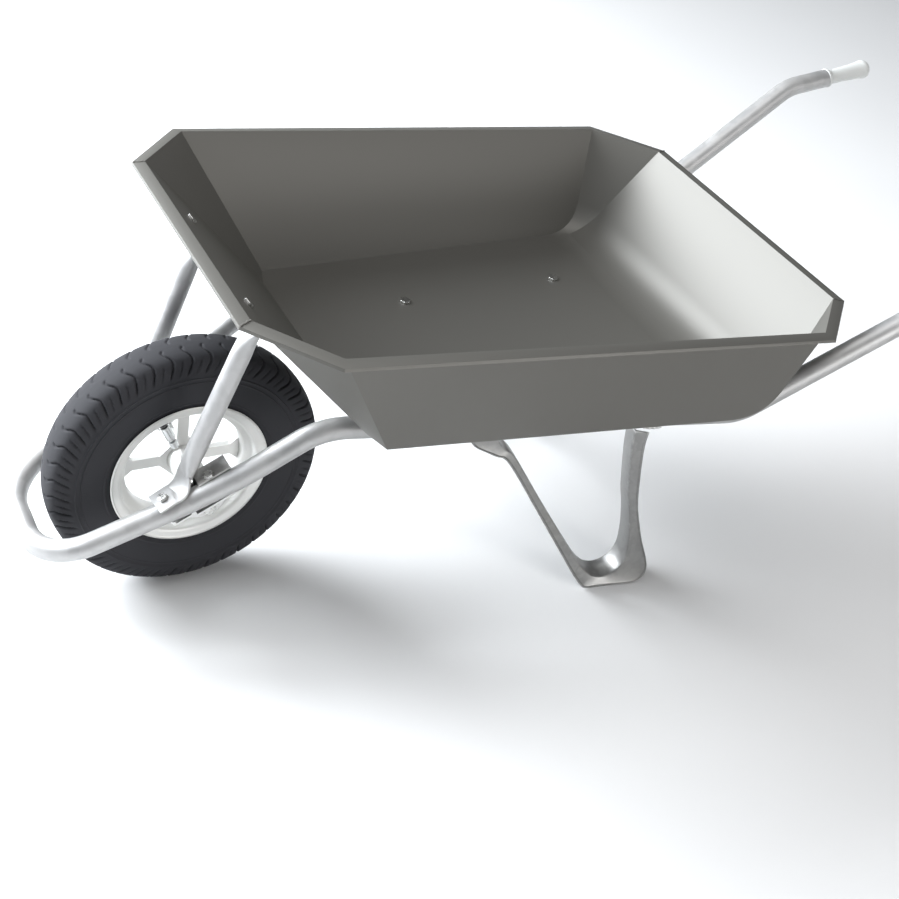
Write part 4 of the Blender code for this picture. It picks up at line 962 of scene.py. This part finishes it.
class BARROW_OT_stays(bpy.types.Operator):
    """Builds the two front stays: round tubes with flattened ends"""
    bl_idname = "barrow.stays"
    bl_label = "Stays"

    def execute(self, context):
        for word, side in SIDES:
            self.make_stay(context, word, side)
        strap = dress("stay_strap", finish_of("pressed_sheet", context), 0.0006)
        return {"FINISHED"}

    def section(self, flatness, radius, thickness, sides=28):
        """Outline of the stay: round where flatness is 0, a flat tab where it is 1."""
        half_width = radius + (STAY_END_HALF_WIDTH - radius) * flatness
        half_height = radius + (thickness / 2 - radius) * flatness
        power = 1.0 - 0.62 * flatness
        points = []
        for k in range(sides):
            angle = 2 * math.pi * (k + 0.5) / sides
            c, s = math.cos(angle), math.sin(angle)
            points.append((half_width * math.copysign(abs(c) ** power, c),
                           half_height * math.copysign(abs(s) ** power, s)))
        return points

    def make_stay(self, context, word, side):
        """One stay, from its tab on the tube to its tab on the tray's front wall."""
        radius, thickness = context.scene.barrow_frame.stay_radius, STAY_THICKNESS
        seat = stay_foot_seat(side)
        along = Vector((SEAT_UP_FRONT.z, -side * 0.12, -SEAT_UP_FRONT.x)).normalized()
        lift = SEAT_UP_FRONT * thickness / 2
        out = TRAY_SHEET + GAP + STRAP_THICKNESS + GAP + thickness / 2
        top_bend = panel_point(0.0870, side * STAY_TOP_Y, out)
        top_end = panel_point(0.0400, side * STAY_TOP_Y, out)
        foot_bend = Vector((-0.0355, side * 0.1030, 0.2520))
        up = (top_bend - foot_bend).normalized()
        upward = (top_end - top_bend).normalized()
        rows = [
            (seat - along * 0.014 + lift, 1.0, SEAT_UP_FRONT), (seat + lift, 1.0, SEAT_UP_FRONT),
            (seat + along * 0.013 + lift, 1.0, SEAT_UP_FRONT),
            (seat + along * 0.021 + lift, 0.97, SEAT_UP_FRONT),
            (foot_bend + up * 0.004, 0.82, STAY_FORWARD),
            (foot_bend + up * 0.020, 0.45, STAY_FORWARD),
            (foot_bend + up * 0.040, 0.12, STAY_FORWARD),
            (foot_bend + up * 0.060, 0.0, STAY_FORWARD),
            (foot_bend.lerp(top_bend, 0.5), 0.0, STAY_FORWARD),
            (top_bend - up * 0.062, 0.0, STAY_FORWARD),
            (top_bend - up * 0.042, 0.12, STAY_FORWARD),
            (top_bend - up * 0.024, 0.45, Vector((-0.96, 0, 0.2))),
            (top_bend - up * 0.009, 0.85, PANEL_OUT),
            (top_bend + upward * 0.004, 1.0, PANEL_OUT), (top_bend.lerp(top_end, 0.5), 1.0, PANEL_OUT),
            (top_end, 1.0, PANEL_OUT)]
        numbers = [(*point, flat, *normal) for point, flat, normal in rows]
        steps = 6 * (len(rows) - 1)
        fine = [smooth_between(numbers, k / steps) for k in range(steps + 1)]
        path = [Vector(row[:3]) for row in fine]
        ups = [Vector(row[4:7]) for row in fine]
        flats = [min(max(row[3], 0.0), 1.0) for row in fine]
        sections = sweep_sections(path, lambda i: self.section(flats[i], radius, thickness), ups)
        silver = finish_of("silver_tube", context)
        stay = finish_mesh(f"stay_tube_{word}", loft(sections), silver, "frame", 50.0)
        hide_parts(f"stay_{word}")


# ------------------------------------------------------------------ legs
# down the front arm, round the foot and up the rear arm: crown x z, lip x z, half widths
LEG_ROWS = (
    (0.3920, 0.3040, 0.3500, 0.3058, 0.0130, 0.0165, 0.0200),
    (0.3965, 0.2930, 0.3610, 0.2925, 0.0130, 0.0165, 0.0200),
    (0.4075, 0.2790, 0.3930, 0.2735, 0.0130, 0.0160, 0.0200),
    (0.4270, 0.2600, 0.4165, 0.2570, 0.0130, 0.0160, 0.0200),
    (0.4885, 0.1620, 0.4790, 0.1570, 0.0140, 0.0170, 0.0205),
    (0.5360, 0.0885, 0.5245, 0.0830, 0.0150, 0.0180, 0.0215),
    (0.5680, 0.0410, 0.5540, 0.0350, 0.0165, 0.0195, 0.0235),
    (0.5830, 0.0240, 0.5720, 0.0090, 0.0175, 0.0205, 0.0250),
    (0.5950, 0.0155, 0.5830, 0.0010, 0.0180, 0.0215, 0.0260),
    (0.6110, 0.0125, 0.6110, 0.0010, 0.0180, 0.0220, 0.0260),
    (0.6270, 0.0180, 0.6400, 0.0010, 0.0180, 0.0225, 0.0260),
    (0.6380, 0.0290, 0.6620, 0.0015, 0.0180, 0.0225, 0.0260),
    (0.6440, 0.0430, 0.6760, 0.0075, 0.0180, 0.0220, 0.0255),
    (0.6455, 0.0560, 0.6820, 0.0200, 0.0175, 0.0215, 0.0250),
    (0.6450, 0.0700, 0.6790, 0.0420, 0.0170, 0.0205, 0.0240),
    (0.6425, 0.0950, 0.6630, 0.0830, 0.0160, 0.0190, 0.0225),
    (0.6350, 0.1350, 0.6480, 0.1300, 0.0150, 0.0180, 0.0215),
    (0.6265, 0.1700, 0.6395, 0.1670, 0.0140, 0.0170, 0.0205),
    (0.6165, 0.2350, 0.6310, 0.2340, 0.0130, 0.0160, 0.0200),
    (0.6130, 0.2680, 0.6285, 0.2700, 0.0130, 0.0160, 0.0200),
    (0.6120, 0.2926, 0.6300, 0.2912, 0.0130, 0.0165, 0.0200),
)


LEG_BEND = 0.0025
WELD_BELOW_TUBE, WELD_ASIDE, WELD_STEPS = 0.0148, 0.0098, 12


class BARROW_OT_legs(bpy.types.Operator):
    """Presses the two legs out of sheet, each with two arms and a foot"""
    bl_idname = "barrow.legs"
    bl_label = "Legs"

    def execute(self, context):
        sheet = context.scene.barrow_frame.leg_sheet
        steps = 5 * (len(LEG_ROWS) - 1)
        rows = [smooth_between(LEG_ROWS, k / steps) for k in range(steps + 1)]
        for word, side in SIDES:
            sections = [self.hat_section(side, row, sheet) for row in rows]
            leg = finish_mesh(f"leg_pressed_{word}", loft(sections), finish_of("pressed_sheet", context),
                              "frame", 55.0)
            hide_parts(f"leg_{word}")
            self.weld_tops(context, word, side)
        return {"FINISHED"}

    def hat_section(self, side, row, sheet):
        """Outline of the pressed sheet at one place: rounded crown, two walls and two lips."""
        crown, depth = Vector(row[:2]), Vector((row[2] - row[0], row[3] - row[1]))
        crown_half, side_half, lip_half = row[4:7]
        share = sheet / depth.length
        bend = LEG_BEND

        def outline(inset, lift):
            """One skin: lip, bend, wall, crown bend and middle of the crown."""
            reach = min(bend / depth.length, 0.3)
            return [(lip_half, 1.0 + lift), (side_half + inset + bend, 1.0 + lift),
                    (side_half + inset + bend * 0.3, 1.0 + lift - reach * 0.3),
                    (side_half + inset, 1.0 + lift - reach),
                    (crown_half + inset, lift + reach),
                    (crown_half + inset - bend * 0.3, lift + reach * 0.3),
                    (crown_half + inset - bend, lift), (0.0, lift)]

        inner = outline(0.0, 0.0)
        outer = outline(sheet, -share)
        half = [(-a, b) for a, b in inner] + [(a, b) for a, b in reversed(inner[:-1])]
        back = outer + [(-a, b) for a, b in reversed(outer[:-1])]
        points = []
        for outward, down in half + back:
            spot = crown + depth * down
            points.append(beside_tube(side, spot.x, spot.y, outward))
        return points

    def weld_tops(self, context, word, side):
        """Weld beads between the leg's lips and the underside of the tube."""
        sheet = finish_of("pressed_sheet", context)
        for place, first, last in (("front", 0.352, 0.388), ("rear", 0.624, 0.654)):
            for edge, edge_word in ((-1, "in"), (1, "out")):
                sections = []
                for k in range(WELD_STEPS + 1):
                    x = first + (last - first) * k / WELD_STEPS
                    z = floor_z(x) - GAP - TRAY_SHEET - TUBE_RADIUS - WELD_BELOW_TUBE
                    swell = math.sin(math.pi * (k + 1) / (WELD_STEPS + 2))
                    size = (0.0017 + 0.0005 * math.sin(k * 2.1 + first * 90)) * swell
                    centre = beside_tube(side, x, z, edge * WELD_ASIDE)
                    sections.append([centre + Vector((0, a * side, b)) for a, b in circle(size + 0.0006, 10)])
                name = f"leg_weld_{place}_{word}_{edge_word}"
                finish_mesh(name, loft(sections), sheet, "frame", 70.0)


# ------------------------------------------------------------------ hardware
# name without its side, finish, slot and width of the softened edges
HARDWARE = (
    ("axle_bracket", "pressed_sheet", "pressed_steel", 0.0006),
    ("axle_nut", "bright_zinc", "zinc_plate", 0.0008),
    ("axle_spacer", "bright_zinc", "zinc_plate", 0.0004),
    ("bracket_bolt", "bright_zinc", "zinc_plate", 0.0005),
    ("bracket_nut", "bright_zinc", "zinc_plate", 0.0005),
    ("stay_foot_bolt", "bright_zinc", "zinc_plate", 0.0005),
    ("stay_foot_nut", "bright_zinc", "zinc_plate", 0.0005),
    ("stay_top_bolt", "bright_zinc", "zinc_plate", 0.0005),
    ("stay_top_nut", "bright_zinc", "zinc_plate", 0.0005),
    ("floor_bolt_front", "bright_zinc", "zinc_plate", 0.0005),
    ("floor_bolt_rear", "bright_zinc", "zinc_plate", 0.0005),
    ("floor_nut_front", "bright_zinc", "zinc_plate", 0.0005),
    ("floor_nut_rear", "bright_zinc", "zinc_plate", 0.0005),
)


class BARROW_OT_hardware(bpy.types.Operator):
    """Finishes the axle, its brackets, the rails and all bolts and nuts"""
    bl_idname = "barrow.hardware"
    bl_label = "Axle, rails and bolts"

    def execute(self, context):
        for kind, finish, slot, width in HARDWARE:
            for word, _ in SIDES:
                dress(f"{kind}_{word}", finish_of(finish, context), width)
        dress("axle", finish_of("bright_zinc", context), 0.0004)
        for word in ("front", "rear"):
            dress(f"cross_rail_{word}", finish_of("pressed_sheet", context), 0.0008)
        return {"FINISHED"}


# ------------------------------------------------------------------ wheel
TYRE_RADIUS, TREAD_EDGE_RADIUS = 0.2000, 0.1700
CENTRE_RIB, SHOULDER = 0.0045, 0.0285
# radius, width and height of the thin ribs on the sidewall
SIDEWALL_RIBS = ((0.1640, 0.0010, 0.0011), (0.1575, 0.0006, 0.0006), (0.1230, 0.0012, 0.0008))
COLUMNS_PER_BLOCK, RIM_SEGMENTS, FINE_STEPS = 16, 128, 400
ACROSS = Matrix.Translation(AXLE - FRAME_SHIFT) @ Matrix.Rotation(-math.pi / 2, 4, "X")


def mirrored_outline(half):
    """(height, radius) points from one edge to the middle, continued to the other edge."""
    return half + [(-height, radius) for height, radius in reversed(half[:-1])]


def evenly(points, spacing):
    """The same outline with a point about every spacing, on a smooth curve."""
    length = sum(math.dist(a, b) for a, b in zip(points, points[1:]))
    count = max(4, round(length / spacing))
    fine = [smooth_between(points, k / FINE_STEPS) for k in range(FINE_STEPS + 1)]
    steps = [0.0]
    for a, b in zip(fine, fine[1:]):
        steps.append(steps[-1] + math.dist(a, b))
    even, i = [], 0
    for k in range(count + 1):
        goal = steps[-1] * k / count
        while i < FINE_STEPS - 1 and steps[i + 1] < goal:
            i += 1
        share = (goal - steps[i]) / max(steps[i + 1] - steps[i], 1e-9)
        even.append([p + (q - p) * min(max(share, 0), 1) for p, q in zip(fine[i], fine[i + 1])])
    return even


class BARROW_OT_tyre(bpy.types.Operator):
    """Builds the pneumatic tyre with its grooved tread and sidewall ribs"""
    bl_idname = "barrow.tyre"
    bl_label = "Tyre"

    def execute(self, context):
        settings = context.scene.barrow_wheel
        # distance from the middle plane, and radius
        sidewall = [(0.0305, 0.1038), (0.0320, 0.1062), (0.0329, 0.1125), (0.0350, 0.1182),
                    (0.0378, 0.1270), (0.0392, 0.1420), (0.0392, 0.1580), (0.0376, 0.1730)]
        tread = [(0.0376, 0.1730), (0.0342, 0.1850), (0.0290, 0.1928), (0.0215, 0.1970),
                 (0.0110, 0.1993), (0.0, 0.2000)]
        outer = evenly(sidewall, 0.0011)[:-1] + evenly(tread, 0.0015)
        inner = [(0.0240, 0.1038), (0.0292, 0.1160), (0.0335, 0.1420), (0.0315, 0.1700),
                 (0.0200, 0.1860), (0.0, 0.1910)]
        skin = mirrored_outline([tuple(p) for p in outer])
        lining = mirrored_outline(inner)[::-1]
        columns = settings.tread_blocks * COLUMNS_PER_BLOCK
        bm = bmesh.new()
        loops = []
        for height, radius in skin + lining:
            outside = (height, radius) in skin
            points = []
            for k in range(columns):
                turn = 2 * math.pi * k / columns
                deep = self.cut(settings, turn, height, radius) if outside else 0.0
                points.append(((radius - deep) * math.cos(turn), (radius - deep) * math.sin(turn),
                               height * (1 - deep * 1.5 / 0.04)))
            loops.append(ring(bm, points))
        for first, second in zip(loops, loops[1:] + loops[:1]):
            join_rings(bm, first, second)
        bmesh.ops.transform(bm, matrix=ACROSS, verts=bm.verts)
        tyre = finish_mesh("tyre_treaded", bm, finish_of("tyre_rubber", context), "wheel", 60.0)
        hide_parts("tyre")
        inner_tube = dress("inner_tube", finish_of("valve_rubber", context), 0)
        return {"FINISHED"}

    def cut(self, settings, turn, height, radius):
        """Depth of the groove or rib at one place of the outer skin."""
        pitch = 2 * math.pi / settings.tread_blocks
        side = 1 if height >= 0 else -1
        away = abs(height)
        half = settings.groove_width / 2
        if radius > TREAD_EDGE_RADIUS:
            down = (TYRE_RADIUS - radius) / 0.030
            sweep = 0.22 * math.sin(2 * math.pi * min(away / 0.042, 1.0)) + 0.4 * down
            if away < CENTRE_RIB:
                return 0.0
            place = (turn / pitch + side * 0.25 + sweep) % 1.0 - 0.5
            gap_to_line = abs(place) * pitch * radius
            depth = settings.groove_depth * max(0.0, 1.0 - (gap_to_line / half) ** 2)
            fade = min(1.0, (away - CENTRE_RIB) / 0.003) * min(1.0, (radius - TREAD_EDGE_RADIUS) / 0.008)
            second = (turn / pitch + side * 0.25 + 0.5 + sweep) % 1.0 - 0.5
            near_side = abs(second) * pitch * radius
            if away > SHOULDER:
                short = settings.groove_depth * 0.6 * max(0.0, 1.0 - (near_side / (half * 0.7)) ** 2)
                depth = max(depth, short * min(1.0, (away - SHOULDER) / 0.003))
            return depth * fade
        for place, width, height_up in SIDEWALL_RIBS:
            if abs(radius - place) < width * 1.6:
                return -height_up * (1 - (abs(radius - place) / (width * 1.6)) ** 2)
        return 0.0


class BARROW_OT_rim(bpy.types.Operator):
    """Rolls the rim and finishes the pressed wheel centre, hub and bearings"""
    bl_idname = "barrow.rim"
    bl_label = "Rim and hub"

    def execute(self, context):
        sheet = context.scene.barrow_wheel.rim_sheet
        middle_line = [(0.0379, 0.1148), (0.0372, 0.1143), (0.0360, 0.1127), (0.0353, 0.1100),
                       (0.0349, 0.1060), (0.0343, 0.1033), (0.0326, 0.1014), (0.0290, 0.1007),
                       (0.0235, 0.1001), (0.0200, 0.0990), (0.0165, 0.0962), (0.0140, 0.0920),
                       (0.0122, 0.0897), (0.0095, 0.0884), (0.0050, 0.0880), (0.0, WELL_RADIUS)]
        line = [Vector(p) for p in mirrored_outline(middle_line)]
        front, back = [], []
        for i, point in enumerate(line):
            ahead = (line[min(i + 1, len(line) - 1)] - line[max(i - 1, 0)]).normalized()
            normal = Vector((-ahead.y, ahead.x)) * sheet / 2
            front.append(tuple(point + normal))
            back.append(tuple(point - normal))
        bm = revolve(front + back[::-1], RIM_SEGMENTS, closed=True)
        bmesh.ops.transform(bm, matrix=ACROSS, verts=bm.verts)
        rim = finish_mesh("rim_rolled", bm, finish_of("rim_paint", context), "wheel", 60.0)
        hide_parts("rim")
        dress("wheel_spider", finish_of("rim_paint", context), 0.0014, 3)
        dress("hub_sleeve", finish_of("rim_paint", context), 0.0008)
        for word, _ in SIDES:
            dress(f"bearing_{word}", finish_of("bearing_bronze", context), 0.0004)
        return {"FINISHED"}


class BARROW_OT_valve(bpy.types.Operator):
    """Builds the threaded valve stem and finishes its grommet and cap"""
    bl_idname = "barrow.valve"
    bl_label = "Valve"

    def execute(self, context):
        spoke = Vector((math.cos(VALVE_ANGLE), 0, math.sin(VALVE_ANGLE)))
        start = (AXLE - FRAME_SHIFT) + spoke * (WELL_RADIUS - 0.0012) + Vector((0, VALVE_Y, 0))
        outline = [(-0.026, 0.0), (-0.026, 0.0038), (-0.0255, 0.0040), (0.0110, 0.0043), (0.0113, 0.0066),
                   (0.0122, 0.0075), (0.0150, 0.0075), (0.0153, 0.0071), (0.0160, 0.0071), (0.0163, 0.0075),
                   (0.0340, 0.0075), (0.0362, 0.0072), (0.0385, 0.0066), (0.0400, 0.0050)]
        turns = 12
        for k in range(turns):
            place = 0.0402 + 0.0092 * k / turns
            outline += [(place, 0.0050), (place + 0.0003, 0.0050), (place + 0.0005, 0.0046)]
        outline += [(0.0500, 0.0050), (0.0508, 0.0042), (0.0510, 0.0)]
        bm = revolve(outline, 32)
        bmesh.ops.transform(bm, matrix=axis_matrix(start, -spoke), verts=bm.verts)
        stem = finish_mesh("valve_stem_threaded", bm, finish_of("valve_chrome", context), "wheel", 40.0)
        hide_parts("valve_stem")
        dress("valve_grommet", finish_of("valve_rubber", context), 0.0004)
        dress("valve_cap", finish_of("valve_chrome", context), 0.0004)
        return {"FINISHED"}


# ------------------------------------------------------------------ panel and registration
class BARROW_PT_panel(bpy.types.Panel):
    """Lists the wheelbarrow's builders and their sizes"""
    bl_label = "Builder's wheelbarrow"
    bl_idname = "BARROW_PT_panel"
    bl_space_type = "VIEW_3D"
    bl_region_type = "UI"
    bl_category = "Barrow"

    def draw(self, context):
        for settings in ("barrow_tray", "barrow_frame", "barrow_wheel", "barrow_stage"):
            group = getattr(context.scene, settings)
            box = self.layout.box()
            for name in group.__annotations__:
                box.prop(group, name)
        for operator in OPERATORS:
            self.layout.operator(operator.bl_idname)


SETTINGS = (("barrow_tray", BarrowTraySettings), ("barrow_frame", BarrowFrameSettings),
            ("barrow_wheel", BarrowWheelSettings), ("barrow_stage", BarrowStageSettings))
OPERATORS = (BARROW_OT_stage, BARROW_OT_tray, BARROW_OT_frame_tube, BARROW_OT_grips, BARROW_OT_stays,
             BARROW_OT_legs, BARROW_OT_hardware, BARROW_OT_tyre, BARROW_OT_rim, BARROW_OT_valve)


def register():
    for name, group in SETTINGS:
        bpy.utils.register_class(group)
        setattr(bpy.types.Scene, name, PointerProperty(type=group))
    for operator in OPERATORS:
        bpy.utils.register_class(operator)
    bpy.utils.register_class(BARROW_PT_panel)


def unregister():
    bpy.utils.unregister_class(BARROW_PT_panel)
    for operator in reversed(OPERATORS):
        bpy.utils.unregister_class(operator)
    for name, group in reversed(SETTINGS):
        delattr(bpy.types.Scene, name)
        bpy.utils.unregister_class(group)


def main():
    register()
    for operator in OPERATORS:
        space, name = operator.bl_idname.split(".")
        getattr(getattr(bpy.ops, space), name)()
    bpy.context.view_layer.update()


if __name__ == "__main__":
    main()
